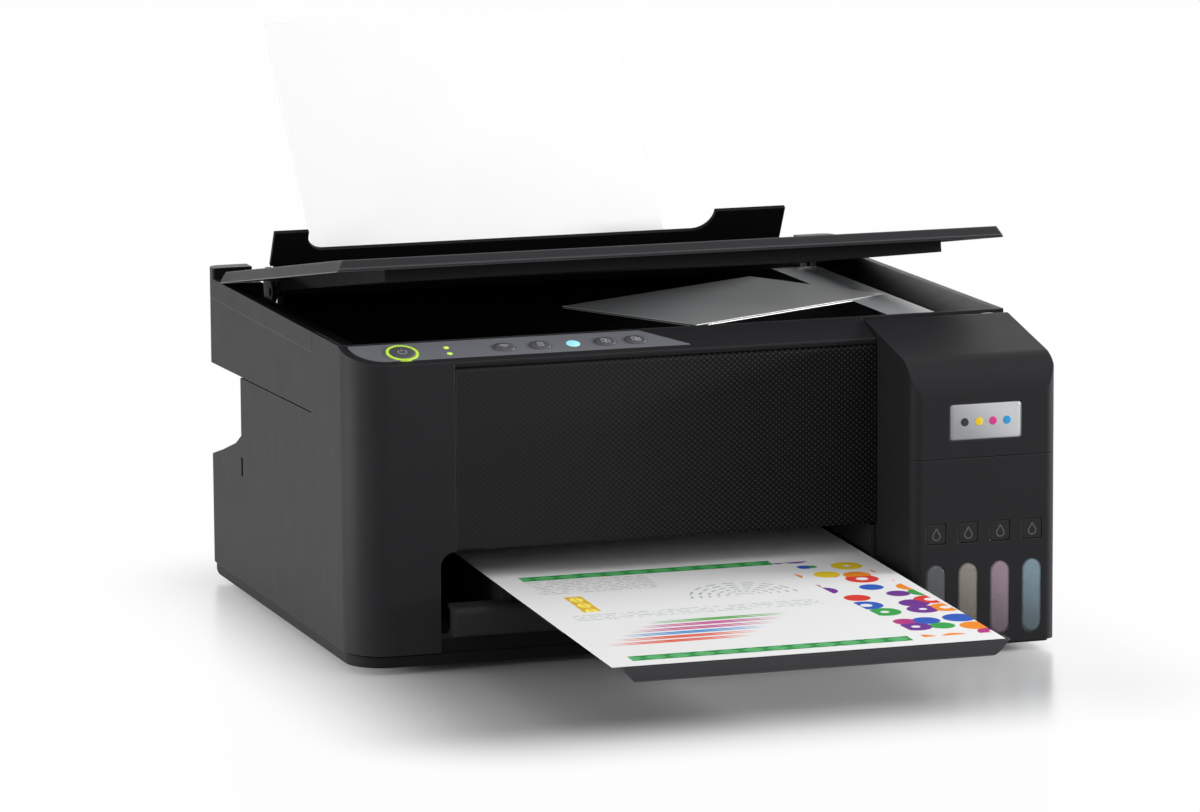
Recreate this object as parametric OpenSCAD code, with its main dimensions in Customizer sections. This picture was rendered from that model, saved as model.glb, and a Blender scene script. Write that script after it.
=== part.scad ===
// Tank-fed inkjet printer with a flatbed scanner, a rear sheet feeder and a
// telescoping output tray. Millimetres, +Z up, the feet stand on Z = 0.
// Depths below are measured from the tank unit's front face and grow rearwards.

/* [Overall] */
// Width across the side walls
body_w = 375; // [370:1:385]
// Depth from the tank unit's front face to the rear wall
body_d = 347; // [346:0.5:352]
// Height of the scanner frame's rim above the floor
top_z = 173; // [172:0.5:177]
// Distance that the tank unit stands forward of the front panel
tank_proud = 52; // [48:1:54]
// Width of the tank unit
tank_w = 82.5; // [81:0.5:85]
// Wall of the moulded housings
wall = 2.5; // [2:0.1:3]
// Height of the feet
foot_h = 4; // [3:0.5:5]
// Radius of the feet
foot_r = 9; // [7:0.5:11]
// Gap between moulded parts that lie against each other
seat = 0.3; // [0.2:0.05:0.5]
// Radial clearance of pins and shafts in their bores
fit = 0.05; // [0.03:0.01:0.09]

/* [Corners and seams] */
// Radius of the front left corner
corner_r = 22; // [16:1:26]
// Radius of the rear corners
rear_r = 7; // [5:0.5:9]
// Radius of the tank unit's front corners
tank_r = 6; // [4:0.5:8]
// Radius of the rounded bottom edge at the rear
heel_r = 13; // [9:1:15]
// Depth at which the scanner unit's side panels start
side_seam_y = 130.5; // [126:0.5:134]
// Height of the side seam at its front end
seam_front_z = 129; // [127:0.5:131]
// Height of the side seam at the rear wall
seam_rear_z = 124; // [121:0.5:126]
// Height of the seam below the tank unit's cover
tank_seam_z = 106.7; // [104:0.5:109]
// Height of the seam between the housing and the base
base_seam_z = 10.5; // [9.5:0.5:12]
// Depth of the hand grips in the rear corners, across the printer
grip_w = 26; // [22:1:26]
// Depth of the hand grips from the rear wall forwards
grip_d = 69.5; // [64:0.5:72]
// Height of the hand grips' floor at the rear wall
grip_low_z = 71; // [66:1:76]
// Height of the hand grips' floor at its front end
grip_high_z = 93; // [89:1:97]

/* [Front] */
// Height of the front panel's upper edge
fascia_top_z = 165; // [162:0.5:167]
// Height of the output opening's upper edge
slot_top_z = 64; // [62:0.5:66]
// Height of the output opening's sill
slot_low_z = 20; // [18:0.5:22]
// Distance of the front panel's left end from the left wall
fascia_in = 56.5; // [52.5:0.5:60.5]
// Distance of the output opening's left end from the left wall
slot_in = 47.5; // [43.5:0.5:49.5]
// Radius of the output opening's upper left corner
slot_r = 8; // [5:1:12]
// Thickness of the front panel
fascia_t = 3; // [2.4:0.1:4]

/* [Control panel] */
// Thickness of the control panel's plate
panel_t = 1.6; // [1.2:0.1:2]
// Width of the housing's edge around the control panel
panel_edge = 2.2; // [1.6:0.1:3]
// Length of the control panel's front edge from the left wall
panel_w = 191.5; // [187.5:0.5:197.5]
// Sideways slant of the control panel's right end
panel_slant = 26; // [18:1:32]
// Diameter of the power button
power_w = 14; // [13:0.25:14.5]
// Width of the light ring around the power button
ring_w = 1.75; // [1.5:0.05:1.9]
// Length of the small buttons
key_w = 12; // [10:0.5:13]
// Width of the small buttons across the slope
key_d = 9; // [7.5:0.25:9.5]
// Height of the buttons above the panel
key_h = 0.8; // [0.5:0.1:1]
// Travel of the buttons
key_travel = 0.8; // [0.5:0.1:1]
// Clearance around the buttons
key_gap = 0.25; // [0.2:0.05:0.35]
// Radius of the network lights
light_r = 1.5; // [1.2:0.1:1.8]
// Distance of each network light from the middle of the slope
light_off = 3.5; // [3.2:0.1:4]
// Width of the ready light
ready_w = 7.5; // [6:0.25:8.5]
// Distance of the power button from the left wall
power_in = 31.5; // [30:0.5:33.5]
// Distance of the network lights from the left wall
network_in = 56.5; // [54.5:0.5:58.5]
// Distances of the four small buttons from the left wall
key_in = [87.5, 107.5, 143.5, 160.5];
// Distance of the ready light from the left wall
ready_in = 125.5; // [124.5:0.5:126.5]

/* [Output tray] */
// Slope of the output tray
tray_tilt = 2.07; // [1.5:0.1:2.6]
// Height at which the tray's paper plane crosses the tank unit's front
tray_plane_z = 45.9; // [45:0.1:47]
// Distance that the pulled-out tray reaches forward of the tank unit
tray_reach = 150; // [140:1:156]
// Room between the output opening's left end and the tray
tray_gap_l = 33; // [30:0.5:35]
// Room between the tray and the tank unit
tray_gap_r = 4; // [3:0.5:6]
// Height of the tray's front bar
tray_bar_h = 9; // [8:0.25:10]
// Thickness of the tray's plates
tray_t = 2.2; // [1.8:0.1:2.6]
// Travel of each tray stage
tray_travel = 97; // [90:1:98]
// Depth of the tray's front bar
tray_bar_d = 9; // [7:0.5:9.5]
// Thickness of a sheet of paper, with its curl
sheet_t = 0.3; // [0.2:0.05:0.4]
// Width by which the sheets exceed the tray
sheet_over = 2; // [0:0.5:3]
// Length of the loaded and printed sheets
sheet_l = 297; // [294:1:300]
// Distance that the printed sheet reaches left of the tray
print_over = 5; // [3:0.5:7]

/* [Rear feeder] */
// Slope of the feeder from the floor
feed_angle = 49.2; // [47.5:0.1:51]
// Depth at which the sheet leaves the top
feed_y = 334; // [333:0.5:336]
// Length of the loaded sheet inside the feeder
feed_depth = 124; // [121:1:126]
// Distance of the loaded sheet from the left wall
feed_in = 61.5; // [59.5:0.5:63.5]
// Distance of the feeder guard from the left wall
guard_in_l = 31.6; // [30.5:0.1:36]
// Distance of the feeder guard from the right wall
guard_in_r = 39.3; // [35:0.1:44]
// Width of the feeder guard's left ear
guard_ear_l = 20; // [16:0.5:24]
// Width of the feeder guard's right ear
guard_ear_r = 42.4; // [36:0.2:46]
// Height of the feeder guard along its slope, in the middle
guard_h = 14.8; // [12:0.2:17]
// Lean of the feeder guard, forwards from upright
guard_lean = 28.4; // [24:0.1:30]
// Height of its ears above that
guard_ear_h = 13; // [9:0.5:13.5]
// Thickness of the feeder guard
guard_t = 2.4; // [2:0.1:2.8]
// Width of the paper support
support_w = 120; // [110:1:130]
// Reach of the paper support above the rim, along the feeder
support_up = 105; // [96:1:112]
// Travel of the paper support
support_travel = 98; // [90:1:100]
// Thickness of the paper support
support_t = 3; // [2.4:0.1:3.4]

/* [Scanner] */
// Height of the glass above the floor
glass_z = 166; // [165.5:0.1:166.5]
// Thickness of the glass
glass_t = 2.8; // [2.4:0.1:3.2]
// Distance of the glass from the side walls
glass_in = 22.5; // [21.5:0.5:24.5]
// Width of the light border beside the glass
border_w = 28; // [26:0.5:30]
// Depth of the bed's front edge
bed_y0 = 77; // [76.5:0.1:78]
// Depth of the glass's front edge
glass_y0 = 84; // [83:0.5:86]
// Depth of the glass's rear edge
glass_y1 = 309; // [307:0.5:310]
// Height of the scanner tub's underside
tub_z = 135; // [134:0.5:137]
// Depth of the scanner tub's rear wall
tub_y1 = 297; // [295:0.5:297.5]
// Depth of the lift hinge's axis
lift_y = 322; // [321:0.5:323]
// Height of the lift hinge's axis
lift_z = 166; // [165:0.5:167]
// Radius of the lift hinge's pins
lift_pin_r = 2.5; // [2:0.1:3]
// Distance of the photo print's middle from the border's right side
photo_in = 95; // [93:1:100]
// Depth of the photo print's middle
photo_y = 200; // [196:1:204]
// Width of the photo print
photo_w = 102; // [100:1:104]
// Length of the photo print
photo_l = 152; // [148:1:153]
// Turn of the photo print on the glass
photo_turn = 27.6; // [25:0.1:30]

/* [Document cover] */
// Angle at which the cover is left standing
cover_raised = 9.2; // [7:0.1:12]
// Thickness of the cover
cover_t = 6.2; // [5.6:0.1:7]
// Depth of the closed cover's front edge
cover_y0 = 74; // [73:0.5:76]
// Depth of the cover hinge's axis
cover_y1 = 316.5; // [315.5:0.5:317.5]
// Taper of the cover's sides, from top to bottom
cover_taper = 3.5; // [2:0.5:5]
// Radius of the cover hinge's pins
cover_pin_r = 1.4; // [1.2:0.1:1.6]
// Distance of the cover's hinges from the side walls
cover_hinge_in = 75.5; // [62.5:1:87.5]

/* [Ink tanks] */
// Slope of the tank cover's top
hood_slope = 12.2; // [11:0.1:13.5]
// Radius of the tank cover's front edge
hood_r = 20; // [16:1:22]
// Radius of the tank cover's hinge edge
hood_hinge_r = 5.3; // [5:0.1:5.8]
// Radius of the tank cover's hinge pins
hood_pin_r = 1.5; // [1.2:0.1:1.8]
// Distance between the ink tanks
tank_pitch = 18.2; // [17.8:0.1:18.6]
// Gap between neighbouring ink tanks
tank_gap = 0.8; // [0.6:0.1:1.4]
// Width of the level windows
window_w = 11; // [9:0.5:12]
// Height of the level windows' upper end
window_top_z = 50; // [46:0.5:54]
// Height of the level windows' lower end
window_low_z = 9.7; // [9:0.1:11]
// Depth of the ink tanks
tank_d = 84; // [78:1:90]
// Height of the ink tanks' top
tank_top_z = 98; // [95:0.5:100]
// Radius of the filling ports
port_r = 5; // [4.5:0.25:5.5]
// Radius of the filling ports' bores
port_bore_r = 3; // [2.6:0.1:3.2]
// Depth of the filling ports behind the front face
port_y = 34; // [30:1:38]
// Depth of the cap hinges behind the front face
cap_hinge_y = 66; // [62:1:70]

/* [Print engine] */
// Radius of the feed roller
feed_r = 5; // [4.5:0.1:5.4]
// Radius of the exit roller's rings
exit_r = 5; // [4.5:0.1:5.4]
// Depth of the feed roller's axis
feed_roller_y = 206; // [205:0.5:207]
// Height of the rollers' axes
roller_z = 61; // [60.5:0.1:61.5]
// Pitch of the gear teeth, as pitch diameter for each tooth
gear_module = 1; // [0.94:0.01:1]
// Width of the gear teeth along the shafts
gear_w = 5; // [4:0.25:5.5]
// Radius of the carriage rod
rod_r = 4; // [3.5:0.1:4.5]
// Width of the print carriage
carriage_w = 58; // [54:1:62]
// Width of the drive belt
belt_w = 5; // [4:0.25:6]
// Radius of the drive belt's pulleys
pulley_r = 6; // [5:0.25:6.5]
// Radius of the pickup roller
pickup_r = 14; // [12:0.5:15]

/* [Hidden] */
$fn = 48;

// Colours
shell_black = "#303032";
deep_black = "#1d1d1f";
frame_grey = "#4a4a4d";
panel_grey = "#66666b";
steel_grey = "#a9adb2";
paper_white = "#f4f4f4";
lime = "#b7e24a";
light_blue = "#9fdcff";

// Places that follow from the sizes above
half_w = body_w / 2;
tank_x0 = half_w - tank_w;
fascia_x0 = -half_w + fascia_in;
slot_x0 = -half_w + slot_in;
panel_x1 = -half_w + panel_w;
power_x = -half_w + power_in;
network_x = -half_w + network_in;
ready_x = -half_w + ready_in;
key_x = [for (d = key_in) d - half_w];
tray_x0 = slot_x0 + tray_gap_l;
tray_x1 = tank_x0 - tray_gap_r;
sheet_w = tray_x1 - tray_x0 + sheet_over;
print_x0 = tray_x0 - print_over;
feed_x0 = -half_w + feed_in;
feed_up = sheet_l - feed_depth;
guard_x0 = -half_w + guard_in_l;
guard_x1 = half_w - guard_in_r;
glass_x0 = -half_w + glass_in;
border_x1 = half_w - glass_in;
glass_x1 = border_x1 - border_w;
cover_hinge_x = half_w - cover_hinge_in;
y_end = tray_reach * cos(tray_tilt) + sheet_t * sin(tray_tilt);
y_far = feed_y + feed_up * cos(feed_angle);
front_y = (y_end - y_far) / 2;
slope = atan((top_z - fascia_top_z) / (bed_y0 - tank_proud));
cover_r = cover_t / 2;
cover_z = top_z + seat + cover_r;
hood_y1 = bed_y0 - 0.5;
hood_pivot_y = hood_y1 - hood_hinge_r;
hood_pivot_z = hood_z(hood_pivot_y) - hood_hinge_r / cos(hood_slope);

seam_r = norm([lift_y - side_seam_y, lift_z - seam_front_z]);

function hood_z(y) = top_z - (hood_y1 - y) * tan(hood_slope);
function seam_z(y) = seam_front_z + (seam_rear_z - seam_front_z) * (y - side_seam_y) / (body_d - side_seam_y);

// Places everything behind the tank unit's front face
module from_front() translate([0, front_y, 0]) children();

// A box between two corners
module block(x0, x1, y0, y1, z0, z1) translate([x0, y0, z0]) cube([x1 - x0, y1 - y0, z1 - z0]);

// An outline in depth and height, carried across the printer
module across(x0, x1) translate([x0, 0, 0]) rotate([90, 0, 90]) linear_extrude(x1 - x0) children();

// An outline in width and height, carried along the depth
module along(y0, y1) translate([0, y1, 0]) rotate([90, 0, 0]) linear_extrude(y1 - y0) children();

// A round bar across the printer
module bar(x0, x1, y, z, r) translate([x0, y, z]) rotate([0, 90, 0]) cylinder(h = x1 - x0, r = r);

// A round bar along the depth
module bar_y(y0, y1, x, z, r) translate([x, y1, z]) rotate([90, 0, 0]) cylinder(h = y1 - y0, r = r);

// The waste outside a rounded corner
module corner(x, y, sx, sy, r) difference() {
    translate([x + (sx > 0 ? 0 : -r), y + (sy > 0 ? 0 : -r)]) square(r);
    translate([x + sx * r, y + sy * r]) circle(r);
}

// A rectangle with its own radius at each corner
module plate(x0, x1, y0, y1, fl = 0, fr = 0, rl = 0, rr = 0) difference() {
    translate([x0, y0]) square([x1 - x0, y1 - y0]);
    if (fl > 0) corner(x0, y0, 1, 1, fl);
    if (fr > 0) corner(x1, y0, -1, 1, fr);
    if (rl > 0) corner(x0, y1, 1, -1, rl);
    if (rr > 0) corner(x1, y1, -1, -1, rr);
}

// A slot shape with round ends
module pill(w, d) {
    square([w - d, d], center = true);
    for (side = [-1, 1]) translate([side * (w - d) / 2, 0]) circle(d / 2);
}

// Plan of the main body and of the tank unit
module main_plan(inset) plate(-half_w + inset, half_w - inset, tank_proud + inset, body_d - inset,
    corner_r - inset, 0, rear_r - inset, rear_r - inset);
module tank_plan(inset, y1) plate(tank_x0 + inset, half_w - inset, inset, y1,
    tank_r - inset, tank_r - inset);

// ---------------------------------------------------------------- housings

lip_inset = 1.2;
floor_t = 3;
sill_gap = 0.8;
bay_wall = 2.5;
bay_floor_z = slot_low_z - bay_wall;

// The rounded heel of the lower rear edge, as waste
module heel() across(-half_w - 1, half_w + 1) corner(body_d, foot_h, -1, 1, heel_r);

module base_pan() color(deep_black) from_front() difference() {
    union() {
        translate([0, 0, foot_h]) linear_extrude(base_seam_z - sill_gap - foot_h) union() {
            main_plan(lip_inset);
            tank_plan(wall + seat, side_seam_y);
        }
        translate([0, 0, foot_h]) linear_extrude(bay_floor_z - foot_h) main_plan(wall + seat);
    }
    translate([0, 0, foot_h + floor_t]) linear_extrude(top_z) union() {
        main_plan(2 * wall + seat);
        tank_plan(2 * wall, side_seam_y);
    }
    // Groove that the tank unit's walls stand in
    translate([0, 0, case_low_z - seat]) linear_extrude(top_z) difference() {
        tank_plan(-seat, case_y1 + seat);
        tank_plan(wall + seat, case_y1 + 2 * seat);
    }
    heel();
}

foot_in_x = 32;
foot_in_y = 34;
module rubber_feet() color(deep_black) from_front() for (x = [-half_w + foot_in_x, half_w - foot_in_x])
    for (y = [tank_proud + foot_in_y, body_d - foot_in_y]) translate([x, y, 0]) cylinder(h = foot_h, r = foot_r);

// Outline of a hand grip, in depth and height
module grip_shape() polygon([
    [body_d - grip_d, seam_front_z + 2], [body_d - grip_d, grip_high_z], [body_d - grip_d + 12, grip_high_z - 6],
    [body_d - 30, grip_low_z + 8], [body_d + 1, grip_low_z], [body_d + 1, seam_front_z + 2]]);

// Everything of the side walls above the seam and the front slope
module top_waste() {
    intersection() {
        polygon([[side_seam_y - 6, top_z + 1], [side_seam_y - 6, seam_front_z], [side_seam_y, seam_front_z],
            [body_d + 1, seam_z(body_d + 1)], [body_d + 1, top_z + 1]]);
        translate([lift_y, lift_z]) circle(seam_r, $fn = 360);
    }
    polygon([[0, fascia_top_z - tank_proud * tan(slope)], [bed_y0, top_z], [bed_y0, top_z + 1], [0, top_z + 1]]);
}

module main_housing() color(shell_black) from_front() {
    difference() {
        translate([0, 0, base_seam_z]) linear_extrude(top_z - base_seam_z) main_plan(0);
        translate([0, 0, base_seam_z - 1]) linear_extrude(top_z) main_plan(wall);
        across(-half_w - 1, half_w + 1) top_waste();
        // Front panel, output opening and tank unit
        block(fascia_x0, half_w + 1, 0, tank_proud + 2 * wall, base_seam_z - 1, fascia_top_z);
        along(tank_proud - 1, tank_proud + corner_r) plate(slot_x0, fascia_x0 + 1,
            base_seam_z - 1, slot_top_z, 0, 0, slot_r, 0);
        block(tank_x0, half_w + 1, 0, side_seam_y, base_seam_z - 1, tank_seam_z);
        block(tank_x0, half_w + 1, 0, bed_y0, tank_seam_z - 1, top_z);
        // Hand grips and rear cover
        for (side = [0, 1]) mirror([side, 0, 0]) across(half_w - grip_w, half_w + 1) grip_shape();
        block(-rear_x1, rear_x1, body_d - 2 * wall, body_d + 1, base_seam_z - 1, top_z);
        heel();
        // Latch slot in the left wall
        block(-half_w - 1, -half_w + wall + 1, body_d - grip_d - 3, body_d - grip_d + 1, 70, 81);
    }
    // Sloping bridge above the front panel, with the control panel's pocket
    difference() {
        intersection() {
            across(-half_w + wall, tank_x0 - seat) bridge_profile();
            linear_extrude(top_z) main_plan(0);
        }
        panel_space(panel_t - 0.4, 0.15);
        key_wells(seat);
    }
    // Wall behind the tank unit's cover, and the web that ties it to the bridge
    block(tank_x0 - 20, half_w - wall / 2, bed_y0, bed_y0 + wall, tank_seam_z, frame_low_z - seat);
    block(tank_x0 - 20, tank_x0 - seat, bed_y0 - wall, bed_y0 + wall / 2, tank_seam_z, frame_low_z - seat);
    block(tank_x0, tank_x0 + wall, bed_y0, side_seam_y, tank_seam_z, tub_z - 2);
    // Liners of the hand grips
    for (side = [0, 1]) mirror([side, 0, 0]) difference() {
        intersection() {
            across(half_w - grip_w - wall, half_w) translate([-wall, 0]) union() {
                grip_shape();
                translate([0, -wall]) grip_shape();
                translate([wall, -wall]) grip_shape();
            }
            translate([0, 0, base_seam_z]) linear_extrude(top_z) main_plan(wall / 2);
            across(0, half_w) polygon([[0, 0], [body_d, 0], [body_d, seam_rear_z - 1], [side_seam_y, seam_rear_z - 1]]);
        }
        across(half_w - grip_w, half_w + 1) grip_shape();
    }
    // Lugs that the tank cover's pins pass through
    for (x = hood_lug_x) difference() {
        union() {
            bar(x, x + wall, hood_pivot_y, hood_pivot_z, hood_hinge_r - wall - seat);
            block(x, x + wall, hood_pivot_y - hood_hinge_r + wall + seat, hood_pivot_y + 0.8, hood_pivot_z - 14, hood_pivot_z);
            block(x, x + wall, hood_pivot_y - hood_hinge_r + wall + seat, bed_y0 + 0.1, hood_pivot_z - 14, hood_pivot_z - 8);
        }
        bar(x - 1, x + wall + 1, hood_pivot_y, hood_pivot_z, hood_pin_r + fit);
    }
}
hood_lug_x = [tank_x0 + wall + 1, half_w - 2 * wall - 1];
rear_x1 = half_w - grip_w - 2 * wall;

// Bridge between the pillar and the tank unit, in depth and height
module bridge_profile() polygon([
    [tank_proud + wall / 2, fascia_top_z - 3], [tank_proud, fascia_top_z - 1], [tank_proud, fascia_top_z],
    [bed_y0 - seat, slope_z(bed_y0 - seat)], [bed_y0 - seat, top_z - 12], [bed_y0 - wall, top_z - 12],
    [bed_y0 - wall, slope_z(bed_y0 - wall) - bridge_t / cos(slope)],
    [leg_y + wall, slope_z(leg_y + wall) - bridge_t / cos(slope)], [leg_y + wall, fascia_top_z - 16],
    [leg_y, fascia_top_z - 16], [leg_y, fascia_top_z - 3]]);
bridge_t = 3;
leg_y = tank_proud + fascia_t + seat;
function slope_z(y) = fascia_top_z + (y - tank_proud) * tan(slope);

// Frame of the sloping control panel: its top is the plane of the slope
module on_slope() translate([0, tank_proud, fascia_top_z]) rotate([slope, 0, 0]) children();
slope_l = (bed_y0 - tank_proud) / cos(slope);

// The panel's outline, grown by a clearance, down to a depth below the slope
module panel_space(depth, grow) intersection() {
    on_slope() translate([0, 0, -depth]) linear_extrude(depth + 3) polygon([
        [-half_w, panel_edge - grow], [panel_x1 + grow, panel_edge - grow],
        [panel_x1 - panel_slant + grow, slope_l - panel_edge + grow], [-half_w, slope_l - panel_edge + grow]]);
    linear_extrude(top_z + 10) main_plan(wall + panel_edge - grow);
}

key_y = slope_l / 2;

// Wells through the bridge, below each button and light
module key_wells(grow) on_slope() translate([0, 0, -8]) linear_extrude(12) {
    translate([power_x, key_y]) circle(power_w / 2 + ring_w + grow);
    for (x = key_x) translate([x, key_y]) pill(key_w + 2 * key_gap, key_d + 2 * key_gap);
    light_spots(key_gap / 2);
}

// Outlines of the two network lights and of the ready light
module light_spots(grow) translate([0, key_y]) {
    for (side = [-1, 1]) translate([network_x, side * light_off]) circle(light_r + grow);
    translate([ready_x, 0]) circle(ready_w / 2 + grow);
}

module control_panel() color(panel_grey) from_front() difference() {
    intersection() {
        panel_space(panel_t - 0.4, 0);
        on_slope() translate([-half_w, 0, -panel_t]) cube([body_w, slope_l, panel_t + 0.4]);
    }
    key_wells(0);
}

// One moulding that brings light to the power button's ring and to the lights
guide_drop = 4.6;
module light_guide() color(lime) from_front() on_slope() translate([0, 0, -guide_drop]) {
    linear_extrude(guide_drop + key_h) translate([power_x, key_y]) difference() {
        circle(power_w / 2 + ring_w);
        circle(power_w / 2 + key_gap);
    }
    linear_extrude(guide_drop + light_h) light_spots(0);
    // Strip behind the buttons' stems that joins them
    guide_strip(power_x + strip_y - 1.5, ready_x + 1, strip_y);
    guide_strip(network_x - 1, network_x + 1, -light_off);
    guide_strip(ready_x - 1, ready_x + 1, 1);
}
light_h = 0.4;
strip_y = 6;
module guide_strip(x0, x1, y) translate([x0, key_y + y, 0]) cube([x1 - x0, strip_y + 2 - y, guide_drop - bridge_t]);

// A button: a crowned cap on a narrower stem, above its switch
module key(x, w, d) from_front() on_slope() translate([x, key_y, 0]) {
    translate([0, 0, -2]) linear_extrude(2 + key_h) pill(w, d);
    translate([0, 0, -6.8 + key_travel + seat]) linear_extrude(5) pill(w - 4, d - 3);
}
module power_button() color(panel_grey) from_front() on_slope() translate([power_x, key_y, 0]) {
    translate([0, 0, -2]) cylinder(h = 2 + key_h, r = power_w / 2);
    translate([0, 0, -6.8 + key_travel + seat]) cylinder(h = 5, r = power_w / 2 - 2);
}
module network_button() color(panel_grey) key(key_x[0], key_w, key_d);
module info_button() color(panel_grey) key(key_x[1], key_w, key_d);
module copy_black_button() color(panel_grey) key(key_x[2], key_w, key_d);
module copy_colour_button() color(panel_grey) key(key_x[3], key_w, key_d);

module front_fascia() color(deep_black) from_front() {
    x0 = fascia_x0 + sill_gap / 2;
    x1 = tank_x0 - sill_gap;
    across(x0, x1) difference() {
        translate([tank_proud, slot_top_z + seat]) square([fascia_t, fascia_top_z - 4 - slot_top_z]);
        corner(tank_proud, fascia_top_z - 4 + seat, 1, -1, 2);
        corner(tank_proud, slot_top_z + seat, 1, 1, 1.5);
    }
    // Inner rims along the ends and the lower edge
    across(x0, x1) translate([tank_proud + fascia_t, slot_top_z + seat]) square([4, 2]);
    for (x = [x0, x1 - 2]) block(x, x + 2, tank_proud + fascia_t, tank_proud + fascia_t + 2,
        slot_top_z + seat, fascia_top_z - 20);
}

module rear_cover() color(shell_black) from_front() difference() {
    union() {
        block(-rear_x1 + seat, rear_x1 - seat, body_d - wall, body_d, base_seam_z, rear_top_z);
        block(-rear_x1 + seat, rear_x1 - seat, body_d - 2 * wall, body_d - wall, rear_top_z - 3, rear_top_z);
    }
    heel();
    // Louvres
    for (row = [0:5]) block(-louvre_w / 2, louvre_w / 2, body_d - wall - 1, body_d + 1,
        louvre_z + louvre_pitch * row, louvre_z + louvre_pitch * row + 3);
    // Inlet and data socket
    block(inlet_x - 12.5, inlet_x + 12.5, body_d - wall - 1, body_d + 1, inlet_z - 9, inlet_z + 9);
    block(usb_x - 7, usb_x + 7, body_d - wall - 1, body_d + 1, usb_z - 7, usb_z + 7);
}
rear_top_z = top_z - 8;
inlet_in = 57.5;
inlet_x = -half_w + inlet_in;
inlet_z = 40;
usb_in = 67.5;
usb_x = half_w - usb_in;
usb_z = 62;
louvre_w = 120;
louvre_z = 110;
louvre_pitch = 7;

screw_in = 9;
screw_z = [30, top_z - 23];
module case_screws() color(steel_grey) from_front() for (x = [-rear_x1 + screw_in, rear_x1 - screw_in])
    for (z = screw_z) difference() {
        bar_y(body_d, body_d + 1.6, x, z, 3);
        for (turn = [0, 90]) translate([x, body_d + 1.6, z]) rotate([0, turn, 0]) cube([3.6, 1.6, 0.8], center = true);
    }

// ------------------------------------------------------------- output tray

// Frame of the tray: its plane is the underside of the printed sheet
module in_tray_plane() translate([0, 0, tray_plane_z]) rotate([tray_tilt, 0, 0]) children();

bay_y1 = tank_proud + 153;
frame_bar_z = 36;
rim_t = 2.5;
rim_low = -seat - 7.4;
stage_one_y0 = -tray_reach + tray_bar_d + tray_travel + seat;
stage_x0 = tray_x0 + 4;
stage_x1 = tray_x1 - 4;

// Tunnel of the output opening, with the front bar and the runners of the tray
module output_bay() color(frame_grey) from_front() {
    difference() {
        block(slot_x0 - bay_wall, tank_x0 - seat, tank_proud + wall + seat, bay_y1, bay_floor_z, slot_top_z + bay_wall);
        block(slot_x0, tank_x0 - seat - bay_wall, tank_proud, bay_y1 + 1, slot_low_z, slot_top_z);
        block(slot_x0 - 5, tank_x0 + 5, engine_y0 - 8, bay_y1 + 1, roller_z - 7, top_z);
        block(slot_x0 - 5, tank_x0, tank_proud, tank_proud + fascia_t + 5, slot_top_z - 1, top_z);
    }
    // Front bar with a rounded upper edge
    across(slot_x0 + 5, tank_x0 - seat - bay_wall - seat) difference() {
        translate([tank_proud - 11, slot_low_z + 1]) square([16, frame_bar_z - slot_low_z - 1]);
        corner(tank_proud - 11, frame_bar_z, 1, -1, 4);
        translate([tank_proud, slot_low_z + wall]) square([6, frame_bar_z - slot_low_z - 2 * wall]);
    }
    block(slot_x0 + 5, tank_x0 - seat - bay_wall - seat, tank_proud - 8, tank_proud + 4, slot_low_z, slot_low_z + wall);
    // Runners below the tray's rims
    for (x = [stage_x0, stage_x1 - rim_t]) runner(x, rim_t, rim_low - seat);
    // Side guides
    for (x = [stage_x0 - seat - 3, stage_x1 + seat]) runner(x, 3, -4);
}

// An upright wall along the tray's travel, cut to the tray's slope
module runner(x, w, top) difference() {
    across(x, x + w) translate([tank_proud + 2, slot_low_z]) square([bay_y1 - 9 - tank_proud, 40]);
    in_tray_plane() block(x - 1, x + w + 1, 0, body_d, top, 60);
}

module tray_stage_one() color(frame_grey) from_front() in_tray_plane() difference() {
    block(stage_x0, stage_x1, stage_one_y0, tank_proud + 48, rim_low, -seat);
    block(stage_x0 + rim_t, stage_x1 - rim_t, stage_one_y0 - 1, tank_proud + 49, rim_low - 1, -seat - tray_t);
    // Finger recess and ribs' grooves in the plate
    for (x = [stage_x0 + 30 : 28 : stage_x1 - 30]) block(x, x + 2, stage_one_y0 + 8, tank_proud + 40, -seat - 0.7, 1);
}

module tray_stage_two() color(frame_grey) from_front() in_tray_plane() {
    top = -2 * seat - tray_t;
    x0 = stage_x0 + rim_t + seat;
    x1 = stage_x1 - rim_t - seat;
    // Front bar with a rounded lower edge and ends that lean in
    intersection() {
        across(tray_x0, tray_x1) difference() {
            translate([-tray_reach, -seat - tray_bar_h]) square([tray_bar_d, tray_bar_h]);
            corner(-tray_reach, -seat - tray_bar_h, 1, 1, 4);
            corner(-tray_reach, -seat, 1, -1, 1);
        }
        along(-tray_reach, tank_proud) polygon([[tray_x0, -seat], [tray_x0 + 8, -seat - tray_bar_h],
            [tray_x1 - 8, -seat - tray_bar_h], [tray_x1, -seat]]);
    }
    block(x0, x1, -tray_reach + 8, tank_proud - 14, top - tray_t, top);
    for (x = [x0 : (x1 - x0 - 2) / 4 : x1 - 1.9]) block(x, x + 2, -tray_reach + 8, tank_proud - 14, rim_low, top - tray_t);
}

module printed_sheet() color(paper_white) from_front() in_tray_plane()
    block(print_x0, print_x0 + sheet_w, -tray_reach, -tray_reach + sheet_l, 0, sheet_t);

// --------------------------------------------------------------- tank unit

tank_x = [for (i = [0:3]) tank_x0 + tank_w / 2 + (i - 1.5) * tank_pitch];
case_y1 = side_seam_y - 0.5;
case_low_z = foot_h + 1.5;

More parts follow.
